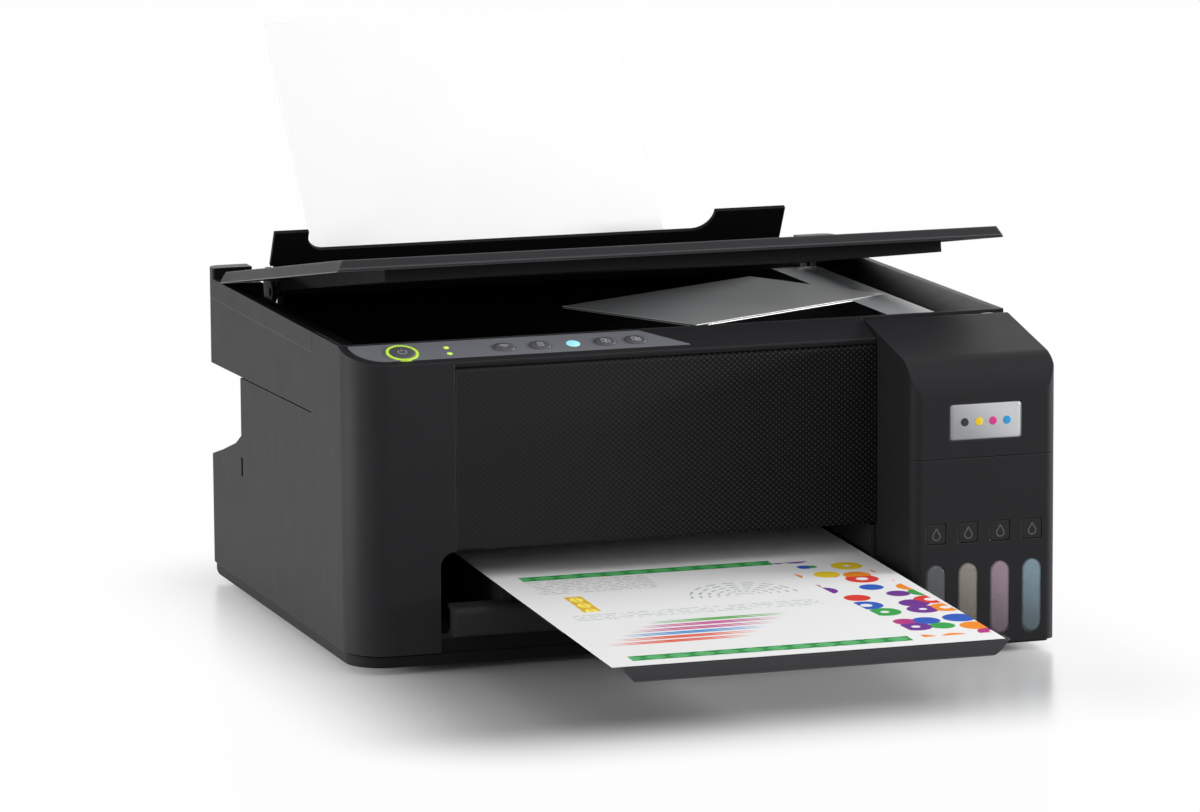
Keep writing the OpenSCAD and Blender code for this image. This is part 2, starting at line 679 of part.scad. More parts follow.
module tank_case() color(shell_black) from_front() difference() {
    union() {
        difference() {
            translate([0, 0, case_low_z]) linear_extrude(tank_seam_z - 0.4 - case_low_z) tank_plan(0, case_y1);
            translate([0, 0, case_low_z - 1]) linear_extrude(tank_seam_z - 0.4 - wall - case_low_z + 1) tank_plan(wall, case_y1 - wall);
        }
    }
    for (x = tank_x) {
        translate([x, 0, (window_top_z + window_low_z) / 2]) rotate([90, 90, 0])
            translate([0, 0, -wall - 1]) linear_extrude(wall + 2) pill(window_top_z - window_low_z, window_w);
        // Recess for the mark above each window
        along(-1, 0.5) plate(x - 5.75, x + 5.75, mark_z - 5.75, mark_z + 5.75, 1.5, 1.5, 1.5, 1.5);
        translate([x, port_y, tank_seam_z - 10]) cylinder(h = 20, r = port_r + seat);
    }
    // The main body passes behind the front step
    block(tank_x0 - 1, tank_x0 + wall + 1, tank_proud + wall, case_y1 + 1, 0, slot_top_z + 8);
    block(tank_x0 - 1, half_w + 1, case_y1 - wall - 1, case_y1 + 1, 0, slot_top_z);
}
mark_z = 66.3;

// An ink tank with its level window, its filling port and its raised shoulders
module ink_tank(i, ink) color(ink) from_front() difference() {
    x = tank_x[i];
    half = (tank_pitch - tank_gap) / 2;
    union() {
        translate([0, 0, foot_h + floor_t + seat]) linear_extrude(tank_top_z - foot_h - floor_t - seat)
            plate(x - half, x + half, wall + seat + 2.8, wall + seat + tank_d, 1.5, 1.5, 1.5, 1.5);
        translate([x, 0.4, (window_top_z + window_low_z) / 2]) rotate([90, 90, 0])
            translate([0, 0, -wall - 4]) linear_extrude(wall + 4) pill(window_top_z - window_low_z - seat, window_w - seat);
        translate([x, port_y, tank_top_z - 1]) cylinder(h = port_top_z - tank_top_z + 1, r = port_r);
    }
    translate([x, port_y, port_top_z - 16]) cylinder(h = 20, r = port_bore_r);
}
port_top_z = tank_seam_z + 1.5;
module black_tank() ink_tank(0, "#3f4146");
module yellow_tank() ink_tank(1, "#7d776c");
module magenta_tank() ink_tank(2, "#8b7a86");
module cyan_tank() ink_tank(3, "#6f8b99");

cap_t = 3;
cap_z = port_top_z + seat;

// A filling cap: a lever arm with a plug below, a knob above and a hinge barrel
module ink_cap(i, tint) color(tint) from_front() difference() {
    x = tank_x[i];
    union() {
        translate([x, port_y, cap_z]) cylinder(h = cap_t + 5, r = port_r + 1.5);
        translate([x, port_y, cap_z - 1.5]) cylinder(h = 3, r = port_bore_r - 0.6);
        block(x - 4.5, x + 4.5, port_y, cap_hinge_y, cap_z, cap_z + cap_t);
        block(x - 5.5, x + 5.5, port_y - port_r - 8, port_y, cap_z + 1, cap_z + cap_t + 1);
        bar(x - 4.5, x + 4.5, cap_hinge_y, cap_axis_z, cap_t);
    }
    bar(x - 6, x + 6, cap_hinge_y, cap_axis_z, 1.2 + fit);
}
cap_axis_z = tank_seam_z + cap_t + seat;
module black_cap() ink_cap(0, "#26272a");
module yellow_cap() ink_cap(1, "#c9b84a");
module magenta_cap() ink_cap(2, "#b45a86");
module cyan_cap() ink_cap(3, "#4b93b8");

// The waste outside an arc between two directions
module arc_waste(y, z, r, a0, a1) translate([y, z]) difference() {
    polygon([[0, 0], 3 * r * [cos(a0), sin(a0)], 3 * r * [cos(a0) + cos(a1), sin(a0) + sin(a1)],
        3 * r * [cos(a1), sin(a1)]]);
    circle(r);
}

// Outline of the tank cover from the side, set in by a wall
module hood_shape(inset) difference() {
    drop = inset / cos(hood_slope);
    polygon([[inset, tank_seam_z - inset], [inset, hood_z(inset) - drop],
        [hood_y1 - inset, hood_z(hood_y1 - inset) - drop], [hood_y1 - inset, tank_seam_z - inset]]);
    arc_waste(hood_r, hood_z(hood_r) - hood_r / cos(hood_slope), hood_r - inset, 90 + hood_slope, 180);
    arc_waste(hood_pivot_y, hood_pivot_z, hood_hinge_r - inset, 0, 90 + hood_slope);
}

module tank_cover() color(shell_black) from_front() {
    difference() {
        intersection() {
            across(tank_x0, half_w) hood_shape(0);
            linear_extrude(top_z + 10) tank_plan(0, body_d);
        }
        intersection() {
            across(tank_x0 + wall, half_w - wall) union() {
                hood_shape(wall);
                translate([hood_pivot_y, tank_seam_z - wall]) square([20, hood_pivot_z - tank_seam_z + wall]);
            }
            linear_extrude(top_z + 10) tank_plan(wall, body_d);
        }
        block(tank_x0 - 1, half_w + 1, -1, body_d, 0, tank_seam_z);
        for (side = [0, 1]) bar(side == 0 ? tank_x0 + 1 : half_w - wall - 1, side == 0 ? tank_x0 + wall + 1 : half_w - 1,
            hood_pivot_y, hood_pivot_z, hood_pin_r + fit);
        along(-1, 0.6) plate(badge_x - badge_w / 2 - 0.2, badge_x + badge_w / 2 + 0.2, badge_z - badge_h / 2 - 0.2,
            badge_z + badge_h / 2 + 0.2, 1.6, 1.6, 1.6, 1.6);
    }
}
badge_x = tank_x0 + 42;
badge_z = 125.7;
badge_w = 41;
badge_h = 19.5;

module tank_cover_pins() color(steel_grey) from_front() {
    bar(tank_x0 + 1.2, hood_lug_x[0] + wall, hood_pivot_y, hood_pivot_z, hood_pin_r);
    bar(hood_lug_x[1], half_w - 1.2, hood_pivot_y, hood_pivot_z, hood_pin_r);
    // Hinge rod of the filling caps, with its posts
    bar(tank_x[0] - 8, tank_x[3] + 8, cap_hinge_y, cap_axis_z, 1.2);
    for (x = [tank_x[0] - 8, tank_x[0] + tank_pitch / 2, tank_x[2] + tank_pitch / 2, tank_x[3] + 6.5])
        block(x - 0.75, x + 0.75, cap_hinge_y - 2, cap_hinge_y + 2, tank_seam_z - 0.4, cap_axis_z + 1.8);
}

// -------------------------------------------------------------- rear feeder

// Frame of the feeder: +Y runs up the sheet and +Z stands off its back face
module in_feed_plane() translate([0, feed_y, top_z]) rotate([feed_angle, 0, 0]) children();

sheet_low = feed_up - sheet_l;
support_top = -seat;
support_low = support_top - support_t;
hopper_top = support_low - seat;
hopper_t = 3;
hopper_x = half_w - grip_w - wall - 1.5;
support_x0 = feed_x0 + (sheet_w - support_w) / 2;
guard_n = 4.6;
guard_y = feed_y - guard_n * sin(feed_angle);
guard_z = top_z + guard_n * cos(feed_angle);
side_t = 3;

module loaded_sheet() color(paper_white) from_front() in_feed_plane()
    block(feed_x0, feed_x0 + sheet_w, sheet_low, feed_up, 0, sheet_t);

module paper_support() color(shell_black) from_front() in_feed_plane() difference() {
    translate([0, 0, support_low]) linear_extrude(support_t)
        plate(support_x0, support_x0 + support_w, -10, support_up, 0, 0, 12, 12);
    // Ribs left standing between shallow channels
    for (i = [0:4]) block(support_x0 + 12 + i * (support_w - 24) / 5 + 2, support_x0 + 12 + (i + 1) * (support_w - 24) / 5 - 2,
        4, support_up - 14, support_low - 1, support_low + 1.2);
}

module feed_hopper() color(shell_black) from_front() {
    in_feed_plane() {
        block(-hopper_x + 1, hopper_x - 1, sheet_low - seat - 4, 2, hopper_top - hopper_t, hopper_top);
        // Ledge below the sheet, and strips that guide the paper support
        block(-hopper_x + 1, hopper_x - 1, sheet_low - seat - 4, sheet_low - seat, hopper_top - 1, 2.5);
        for (x = [support_x0 - seat - 4, support_x0 + support_w + seat])
            block(x, x + 4, sheet_low + 8, 2, hopper_top - 0.1, support_top - 0.3);
        for (side = [-1, 1]) translate([side * (hopper_x - side_t / 2), 0, 0])
            block(1 - side_t / 2, side_t / 2 - 0.5, sheet_low - seat - 3, -20, hopper_top - 1, 2);
    }
    // Side plates that carry the lift hinge and the feeder guard
    for (side = [-1, 1]) difference() {
        across(side > 0 ? hopper_x - side_t : -hopper_x, side > 0 ? hopper_x : -hopper_x + side_t) hull() {
            translate([lift_y, lift_z]) circle(5);
            translate([guard_y, guard_z]) circle(3);
            translate([body_d - 2 * wall - 3, top_z - 12]) circle(2);
            translate([lift_y - 2, tub_z - 8]) circle(3);
            translate([body_d - 2 * wall - 12, tub_z - 14]) circle(2);
        }
        bar(-half_w, half_w, lift_y, lift_z, lift_pin_r + fit);
        bar(-half_w, half_w, guard_y, guard_z, 1.5 + fit);
    }
}

guide_x = feed_x0 + sheet_w + seat;
guide_h = 1.8;
module edge_guide() color(deep_black) from_front() in_feed_plane() {
    block(guide_x, guide_x + 3, -70, 10, hopper_top + seat, guide_h);
    block(guide_x - 16, guide_x + 3, -66, -10, hopper_top + seat, -seat);
}

// A flap that leans forward over the slot, with a taller ear at each end
guard_foot = 5;
guard_curve_l = 10;
guard_curve_r = 12.4;
module feeder_guard() color(deep_black) from_front() {
    translate([0, guard_y, guard_z]) rotate([90 + guard_lean, 0, 0])
        translate([0, 0, -guard_t / 2]) linear_extrude(guard_t) difference() {
            polygon([[guard_x0 + 2.4, 0], [guard_x1, 0], [guard_x1, guard_h + guard_ear_h],
                [guard_x0, guard_h + guard_ear_h], [guard_x0, guard_foot], [guard_x0 + 2.4, guard_foot]]);
            // Low middle part between the ears
            plate(guard_x0 + guard_ear_l, guard_x1 - guard_ear_r, guard_h, guard_h + guard_ear_h + 1,
                guard_curve_l, guard_curve_r);
        }
    bar(guard_x0 + 2.1, guard_x1 + 0.2, guard_y, guard_z, 2.2);
    bar(-hopper_x + 0.5, hopper_x - 0.5, guard_y, guard_z, 1.5);
}

// -------------------------------------------------------------- print engine

end_x0 = -half_w + 30;
end_x1 = half_w - 10;
end_t = 3;
engine_y0 = tank_proud + 94;
engine_y1 = 240;
deck_z = 56;
platen_z = roller_z + feed_r;
teeth_feed = 40;
teeth_idler = 20;
teeth_pinion = 12;
exit_y = feed_roller_y - gear_module * (teeth_feed / 2 + teeth_idler * 1.5);
idler_y = feed_roller_y - gear_module * (teeth_feed + teeth_idler) / 2;
pinion_off = gear_module * (teeth_feed + teeth_pinion) / 2 * cos(45);
pinion_y = feed_roller_y + pinion_off;
pinion_z = roller_z + pinion_off;
rod_y = 213;
rod_z = 90;
cheek_z = rod_z + 30;
gear_x1 = end_x0 - seat - 0.5;
gear_x0 = gear_x1 - gear_w;
shaft_r = 3;

module engine_frame() color(frame_grey) from_front() difference() {
    union() {
        block(end_x0, end_x1, engine_y0, engine_y1, deck_z, deck_z + 2);
        for (x = [end_x0, end_x1 - end_t]) across(x, x + end_t) polygon([
            [engine_y0, deck_z], [engine_y1, deck_z], [engine_y1, cheek_z], [rod_y - 3 * rod_r, cheek_z],
            [engine_y0, roller_z + 12]]);
        // Platen ribs
        for (x = [feed_x0 + 4 : 14 : tank_x0 - 8]) block(x, x + 2, exit_y + 8, feed_roller_y - 8, deck_z, platen_z - seat);
        // Legs down to the base
        for (x = [end_x0, end_x1 - 8]) for (y = [engine_y0, engine_y1 - 8])
            block(x, x + 8, y, y + 8, foot_h + floor_t, deck_z);
    }
    block(end_x0 + end_t, end_x1 - end_t, feed_roller_y - feed_r - 1, feed_roller_y + feed_r + 1, deck_z - 1, deck_z + 3);
    block(end_x0 + end_t, end_x1 - end_t, exit_y - exit_r - 1, exit_y + exit_r + 1, deck_z - 1, deck_z + 3);
    bar(end_x0 - 1, end_x1 + 1, feed_roller_y, roller_z, shaft_r + fit);
    bar(end_x0 - 1, end_x1 + 1, exit_y, roller_z, shaft_r + fit);
    bar(end_x0 - 1, end_x1 + 1, rod_y, rod_z, rod_r + fit);
}

web_y = engine_y1 + 0.1;
web_t = 1.5;
belt_z = 112;
belt_y0 = web_y - 12;
pulley_x0 = end_x0 + end_t + pulley_r + 6;
pulley_x1 = end_x1 - end_t - pulley_r - 6;
pickup_y = feed_y - 100 * cos(feed_angle) - (pickup_r + 2 * seat + sheet_t) * sin(feed_angle);
pickup_z = top_z - 100 * sin(feed_angle) + (pickup_r + 2 * seat + sheet_t) * cos(feed_angle);
pickup_x = [feed_x0 + 64, feed_x0 + 106];

module rail_frame() color(steel_grey) from_front() difference() {
    union() {
        across(end_x0, end_x1) polygon([
            [web_y, deck_z], [web_y + web_t, deck_z], [web_y + web_t, tub_z - 4], [rod_y - 10, tub_z - 4],
            [rod_y - 10, tub_z - 11], [rod_y - 10 + web_t, tub_z - 11], [rod_y - 10 + web_t, tub_z - 4 - web_t],
            [web_y, tub_z - 4 - web_t]]);
        // Arms that carry the pickup roller
        for (x = pickup_x) across(x - web_t, x) polygon([
            [web_y + web_t, pickup_z - 10], [pickup_y - 3, pickup_z - 6], [pickup_y + 4, pickup_z - 4],
            [pickup_y + 5, pickup_z + 3], [pickup_y - 4, pickup_z + 6], [web_y + web_t, pickup_z + 10]]);
    }
    for (x = [end_x0 + 57.5 : 40 : end_x1 - 37.5]) block(x - 8, x + 8, web_y - 1, web_y + 3, rod_z + 6, rod_z + 12);
    for (x = [pulley_x0, pulley_x1]) bar_y(web_y - 1, web_y + 3, x, belt_z, spindle_r + fit);
    bar(pickup_x[0] - 5, pickup_x[1] + 5, pickup_y, pickup_z, shaft_r + fit);
    // Room below the scanner unit's side arm
    block(cheek_x - 1, end_x1 + 1, rod_y - 20, web_y + 3, seam_rear_z, tub_z);
}

module carriage_rod() color("#c8ccd0") from_front() bar(end_x0 + 0.5, end_x1 - 0.5, rod_y, rod_z, rod_r);

park_x = end_x1 - end_t - carriage_w - 3;
module print_carriage() color(deep_black) from_front() difference() {
    x0 = park_x;
    x1 = park_x + carriage_w;
    union() {
        across(x0, x1) polygon([
            [exit_y + 12, platen_z + 8], [exit_y + 15, platen_z + 1.5], [feed_roller_y - 9, platen_z + 1.5],
            [feed_roller_y - 8, rod_z - 8], [rod_y + 8, rod_z - 8], [rod_y + 8, belt_z - 12],
            [belt_y0 - 2, belt_z - 12], [belt_y0 - 2, belt_z + 4], [exit_y + 26, belt_z + 4],
            [exit_y + 12, rod_z + 6]]);
        // Clamp that grips the belt's lower run
        block(x0 + 18, x1 - 18, belt_y0 - 3, belt_y0 + belt_w, belt_z - pulley_r - 5, belt_z - pulley_r - 1.2 - seat);
    }
    bar(x0 - 1, x1 + 1, rod_y, rod_z, rod_r + fit);
    // Sockets of the four ink dampers
    for (i = [0:3]) block(x0 + 5 + 12.5 * i, x0 + 5 + 12.5 * i + 10.5, exit_y + 42, belt_y0 - 8, rod_z + 10, belt_z + 5);
}

// Flat band of four ink tubes: from the tanks, over the rail's lip, to the carriage
tube_r = 1.4;
tube_z = belt_z + 8;
module ink_tubes() color("#3c3d40") from_front() for (i = [0:3]) {
    y = exit_y + 27 + i * (2 * tube_r + 0.1);
    x = park_x + 10 + i * 2;
    bar(x - 90, x, y, tube_z, tube_r);
    translate([x - 90, y, tube_z + tube_bend]) rotate([90, 0, 0]) rotate(90)
        rotate_extrude(angle = 180) translate([tube_bend, 0]) circle(tube_r, $fn = 16);
    bar(x - 90, half_w - 24, y, tube_z + 2 * tube_bend, tube_r);
    translate([x, y, belt_z + 4]) cylinder(h = tube_z - belt_z - 4, r = tube_r);
    translate([x, y, tube_z]) sphere(tube_r);
}
tube_bend = 3;

module drive_belt() color("#26272a") from_front() along(belt_y0, belt_y0 + belt_w) difference() {
    translate([(pulley_x0 + pulley_x1) / 2, belt_z]) pill(pulley_x1 - pulley_x0 + 2 * pulley_r + 2.9, 2 * pulley_r + 2.9);
    translate([(pulley_x0 + pulley_x1) / 2, belt_z]) pill(pulley_x1 - pulley_x0 + 2 * pulley_r + 0.5, 2 * pulley_r + 0.5);
}
module pulley(x) from_front() difference() {
    union() {
        bar_y(belt_y0 - 0.5, belt_y0 + belt_w + 0.5, x, belt_z, pulley_r);
        bar_y(belt_y0 - 1.5, belt_y0 - 0.5, x, belt_z, pulley_r + 2);
        bar_y(belt_y0 + belt_w + 0.5, belt_y0 + belt_w + 1.5, x, belt_z, pulley_r + 2);
    }
    bar_y(belt_y0 - 5, belt_y0 + belt_w + 5, x, belt_z, spindle_r + fit);
}
module motor_pulley() color(paper_white) pulley(pulley_x1);
module idler_pulley() color(paper_white) pulley(pulley_x0);
spindle_r = 1.5;

// Carriage motor behind the rail, feed motor beside the frame, and their spindles
module drive_motors() color(steel_grey) from_front() {
    bar_y(web_y + web_t, web_y + web_t + 13, pulley_x1, belt_z, 11);
    for (x = [pulley_x0, pulley_x1]) bar_y(belt_y0 - 1.7, web_y + web_t, x, belt_z, spindle_r);
    bar(gear_x0 - seat - web_t - 15, gear_x0 - seat - web_t, pinion_y, pinion_z, 11.5);
    bar(gear_x0 - seat - web_t, end_x0 - seat, pinion_y, pinion_z, spindle_r);
    // Plate that carries the feed motor and the idler gear's stud
    across(gear_x0 - seat - web_t, gear_x0 - seat) polygon([
        [idler_y - 8, roller_z - 12], [engine_y1, roller_z - 12], [engine_y1, pinion_z + 14], [idler_y - 8, pinion_z - 2]]);
    for (z = [roller_z - 11, pinion_z + 8]) bar(gear_x0 - seat, end_x0, engine_y1 - 3, z, 2.5);
    bar(gear_x0 - seat, end_x0, idler_y, roller_z, 2);
}

// A spur gear with involute flanks, drawn about the origin
function inv_point(base_r, t) = [base_r * (cos(t) + t * PI / 180 * sin(t)), base_r * (sin(t) - t * PI / 180 * cos(t))];
function turned(p, a) = [p[0] * cos(a) - p[1] * sin(a), p[0] * sin(a) + p[1] * cos(a)];
module gear_2d(teeth, phase) {
    pitch_r = gear_module * teeth / 2;
    base_r = pitch_r * cos(20);
    tip_r = pitch_r + gear_module * 0.9;
    root_r = pitch_r - gear_module * 1.2;
    tip_t = sqrt(pow(tip_r / base_r, 2) - 1) * 180 / PI;
    half = 90 / teeth + (tan(20) * 180 / PI - 20) - 12 / teeth;
    flank = [for (k = [0:3]) turned(inv_point(base_r, tip_t * k / 3), -half)];
    low = turned([min(root_r, base_r - 0.1), 0], -half);
    polygon([for (i = [0:teeth - 1]) let (a = 360 * i / teeth + phase)
        each concat([turned(low, a)], [for (p = flank) turned(p, a)],
            [for (k = [3:-1:0]) turned([flank[k][0], -flank[k][1]], a)], [turned([low[0], -low[1]], a)])]);
}
module gear(teeth, phase, y, z) translate([0, y, z]) across(gear_x0, gear_x1) gear_2d(teeth, phase);

module feed_roller() color(steel_grey) from_front() {
    bar(end_x0 + end_t + 1, end_x1 - end_t - 1, feed_roller_y, roller_z, feed_r);
    bar(gear_x0, end_x1, feed_roller_y, roller_z, shaft_r);
    color(paper_white) gear(teeth_feed, 0, feed_roller_y, roller_z);
}
module exit_roller() color("#3a3b3e") from_front() {
    bar(gear_x0, end_x1, exit_y, roller_z, shaft_r);
    for (x = [feed_x0 + 10 : 36 : tank_x0 - 20]) bar(x, x + 8, exit_y, roller_z, exit_r);
    gear(teeth_idler, 0, exit_y, roller_z);
}
module idler_gear() color(paper_white) from_front() difference() {
    gear(teeth_idler, 9, idler_y, roller_z);
    bar(gear_x0 - 1, gear_x1 + 1, idler_y, roller_z, 2 + fit);
}
module motor_pinion() color(steel_grey) from_front() difference() {
    gear(teeth_pinion, 0, pinion_y, pinion_z);
    bar(gear_x0 - 1, gear_x1 + 1, pinion_y, pinion_z, spindle_r + fit);
}
module pickup_roller() color("#3a3b3e") from_front() {
    bar(pickup_x[0] - web_t - 3, pickup_x[1] + 3, pickup_y, pickup_z, shaft_r);
    bar(pickup_x[0] + 4, pickup_x[1] - web_t - 4, pickup_y, pickup_z, pickup_r);
}

module capping_station() color(frame_grey) from_front() difference() {
    cap_y0 = exit_y + 16;
    cap_y1 = feed_roller_y - 12;
    cap_rim = 4;
    block(park_x + 4, park_x + carriage_w - 4, cap_y0, cap_y1, deck_z + 2, platen_z + 0.8);
    block(park_x + 4 + 2 * cap_rim, park_x + carriage_w - 4 - 2 * cap_rim, cap_y0 + cap_rim, cap_y1 - cap_rim,
        platen_z - 3, platen_z + 2);
}

supply_x0 = -half_w + 36;
supply_w = 54;
supply_d = 57;
supply_h = 51;
supply_gap = 18;
module power_supply() color(deep_black) from_front() {
    block(supply_x0, supply_x0 + supply_w, body_d - supply_gap - supply_d, body_d - supply_gap,
        foot_h + floor_t, foot_h + floor_t + supply_h);
    // Two-pin inlet that looks out through the rear cover
    difference() {
        block(inlet_x - 12, inlet_x + 12, body_d - 19, body_d - 0.6, inlet_z - 8.5, inlet_z + 8.5);
        along(body_d - 14, body_d) translate([inlet_x, inlet_z]) pill(15.5, 8.5);
    }
    for (x = [-3.3, 3.3]) bar_y(body_d - 15, body_d - 5, inlet_x + x, inlet_z, 1.2);
}

// The main board with its data socket, and the switch board of the control panel
module circuit_boards() color("#1f5d3a") from_front() {
    block(usb_x - 100, usb_x + 18, body_d - 24, body_d - 22.4, foot_h + floor_t, 70);
    color(steel_grey) difference() {
        block(usb_x - 6.5, usb_x + 6.5, body_d - 22.4, body_d - 0.8, usb_z - 6.5, usb_z + 6.5);
        block(usb_x - 4.5, usb_x + 4.5, body_d - 12, body_d, usb_z - 4.2, usb_z + 4.2);
    }
    color(deep_black) block(usb_x - 70, usb_x - 46, body_d - 28, body_d - 24, 30, 54);
    on_slope() translate([-half_w + 22, panel_edge + 6, -board_drop]) cube([half_w + panel_x1 - 42, slope_l - 14, 1.2]);
    for (x = [power_x + 13, (key_x[1] + key_x[0]) / 2, (key_x[2] + ready_x) / 2]) on_slope()
        translate([x, key_y - 1, 0.6 - board_drop]) cube([2, 2, board_drop - 0.6 - bridge_t]);
}
board_drop = 9;

// ------------------------------------------------------------- scanner unit

inner_x = half_w - wall - seat;
tub_x = -glass_x0 + 3;
// The tub's lower front edge clears the wall before it as it swings about the lift hinge
tub_y0 = lift_y - sqrt(pow(lift_y - bed_y0 - wall - seat, 2) - pow(lift_z - tub_z, 2));
cheek_x = half_w - grip_w + 3;
frame_low_z = glass_z - glass_t - 1;
bed_drop = top_z - glass_z;
arm_y = 299;

// Plan of the scanner unit: narrow between the housing's walls, wide behind them
module scanner_plan() {
    plate(-inner_x, inner_x, bed_y0 + 0.2, side_seam_y + 1);
    intersection() {
        main_plan(0);
        translate([-half_w, lift_y - seam_r + 2 * seat]) square([body_w, body_d]);
    }
}

// Waste between the side arms: the feeder's slot and its hinge plates
module feeder_waste(z0, z1) {
    block(-cheek_x, cheek_x, lift_y, body_d + 1, z0, z1);
    for (side = [0, 1]) mirror([side, 0, 0]) block(hopper_x - side_t - 1, cheek_x, arm_y, body_d, z0, z1);
}

module scanner_base() color(shell_black) from_front() difference() {
    union() {
        // Tub below the glass
        block(-tub_x, tub_x, tub_y0, tub_y1, tub_z, frame_low_z);
        // Side arms
        for (side = [0, 1]) mirror([side, 0, 0]) difference() {
            intersection() {
                across(cheek_x, half_w) intersection() {
                    polygon([[side_seam_y - 6, seam_front_z + sill_gap], [side_seam_y, seam_front_z + sill_gap],
                        [body_d, seam_rear_z + sill_gap], [body_d, frame_low_z], [side_seam_y - 6, frame_low_z]]);
                    translate([lift_y, lift_z]) circle(seam_r - seat, $fn = 360);
                }
                linear_extrude(top_z) scanner_plan();
            }
            across(cheek_x + wall, half_w - wall) polygon([
                [side_seam_y + seat + wall, seam_z(side_seam_y) + wall + sill_gap],
                [body_d - wall, seam_rear_z + wall + sill_gap], [body_d - wall, top_z],
                [side_seam_y + seat + wall, top_z]]);
        }
    }
    block(-tub_x + wall, tub_x - wall, tub_y0 + wall, tub_y1 - wall, tub_z + wall, top_z);
    bar(-cheek_x - wall - 1, cheek_x + wall + 1, lift_y, lift_z, lift_pin_r + fit);
}

module scanner_frame() color(deep_black) from_front() difference() {
    union() {
        difference() {
            translate([0, 0, frame_low_z]) linear_extrude(top_z - frame_low_z) scanner_plan();
            feeder_waste(0, top_z + 1);
            // Sloping sides of the bed, from the rim down to the glass
            intersection() {
                along(0, body_d) polygon([[glass_x0, glass_z], [-inner_x + 1.2, top_z], [-inner_x + 1.2, top_z + 1],
                    [inner_x - 1.2, top_z + 1], [inner_x - 1.2, top_z], [border_x1, glass_z]]);
                across(-half_w, half_w) polygon([[glass_y0, glass_z], [bed_y0 + 1.5, top_z], [bed_y0 + 1.5, top_z + 1],
                    [glass_y1 + 2, top_z + 1], [glass_y1 + 2, top_z], [glass_y1, glass_z]]);
            }
            block(glass_x0, border_x1, glass_y0, glass_y1, glass_z - glass_t, glass_z + 1);
            block(-tub_x + wall, tub_x - wall, tub_y0 + wall, tub_y1 - wall, 0, glass_z);
        }
        // Corner blocks behind the cover
        for (side = [0, 1]) mirror([side, 0, 0]) intersection() {
            block(cheek_x, half_w, body_d - 12, body_d, frame_low_z, top_z + cover_t);
            linear_extrude(top_z + 20) main_plan(0);
        }
        // Lugs of the cover's hinges
        for (x = [-cover_hinge_x, cover_hinge_x]) across(x - 3, x + 3) hull() {
            translate([cover_y1, cover_z]) circle(cover_r - 0.2);
            translate([cover_y1 - 2.5, top_z - 2]) square([5, 1]);
        }
    }
    for (x = [-cover_hinge_x, cover_hinge_x]) bar(x - 4, x + 4, cover_y1, cover_z, cover_pin_r + fit);
    bar(-cheek_x - wall - 1, cheek_x + wall + 1, lift_y, lift_z, lift_pin_r + fit);
}

module scanner_glass() color("#20262b") from_front()
    block(glass_x0 + 0.2, glass_x1, glass_y0 + 0.2, glass_y1 - 0.2, glass_z - glass_t, glass_z);
module glass_border() color("#c9ccd0") from_front()
    block(glass_x1, border_x1 - 0.2, glass_y0 + 0.2, glass_y1 - 0.2, glass_z - glass_t, glass_z);

scan_rod_y = 189;
scan_rod_z = tub_z + wall + 6;
scan_travel = border_x1 - glass_x0 - 52;
module scan_rod() color("#c8ccd0") from_front() bar(-tub_x + wall, tub_x - wall, scan_rod_y, scan_rod_z, 2.5);
module scan_bar() color("#2c2d30") from_front() difference() {
    union() {
        block(-tub_x + wall + 6, -tub_x + wall + 24, bed_y0 + 12, tub_y1 - 8, scan_rod_z + 5, glass_z - glass_t - 1.2);
        block(-tub_x + wall + 5, -tub_x + wall + 25, scan_rod_y - 12, scan_rod_y + 12, scan_rod_z - 4, scan_rod_z + 6);
    }
    bar(-tub_x, 0, scan_rod_y, scan_rod_z, 2.5 + fit);
    block(-tub_x + wall + 13, -tub_x + wall + 17, bed_y0 + 18, tub_y1 - 14, glass_z - glass_t - 2.2, top_z);
}

module photo_print() color("#d5d7da") from_front() translate([border_x1 - photo_in, photo_y, glass_z + seat])
    rotate(photo_turn) translate([-photo_l / 2, -photo_w / 2, 0]) cube([photo_l, photo_w, sheet_t]);

// Turns the cover from closed to the angle at which it is left
module raised() translate([0, cover_y1, cover_z]) rotate([-cover_raised, 0, 0])
    translate([0, -cover_y1, -cover_z]) children();

module cover_shell() color(deep_black) from_front() raised() difference() {
    intersection() {
        along(0, body_d) polygon([[-half_w, top_z + seat], [half_w, top_z + seat],
            [half_w - cover_taper, top_z + seat + cover_t], [-half_w + cover_taper, top_z + seat + cover_t]]);
        across(-half_w, half_w) difference() {
            polygon([[cover_y0 + 1, top_z + seat], [cover_y0, top_z + seat + 1.5], [cover_y0 + 1.5, top_z + seat + cover_t],
                [cover_y1 + cover_r, top_z + seat + cover_t], [cover_y1 + cover_r, top_z + seat]]);
            corner(cover_y1 + cover_r, top_z + seat, -1, 1, cover_r - 0.05);
            corner(cover_y1 + cover_r, top_z + seat + cover_t, -1, -1, cover_r - 0.05);
        }
    }
    // Hollow underside
    block(-half_w + 8, half_w - 8, cover_y0 + 8, cover_y1 - 8, top_z, top_z + seat + cover_t - 2.2);
    for (x = [-cover_hinge_x, cover_hinge_x]) {
        block(x - 3 - seat, x + 3 + seat, cover_y1 - cover_r - 1, cover_y1 + cover_r + 1, top_z, top_z + cover_t + 2);
        bar(x - 9, x + 9, cover_y1, cover_z, cover_pin_r + fit);
    }
}
module cover_mat() color(deep_black) from_front() raised() {
    block(-half_w + 8.4, half_w - 8.4, cover_y0 + 8.4, cover_y1 - 8.4, top_z + seat + 1.8, top_z + seat + cover_t - 2.5);
    block(glass_x0 + 8, border_x1 - 8, glass_y0 + 6, glass_y1 - 6, mat_z, top_z + seat + 1.8);
}
mat_z = glass_z + 3 * seat + sheet_t;

module hinge_pins() color(steel_grey) from_front() raised()
    for (x = [-cover_hinge_x, cover_hinge_x]) bar(x - 8.9, x + 8.9, cover_y1, cover_z, cover_pin_r);

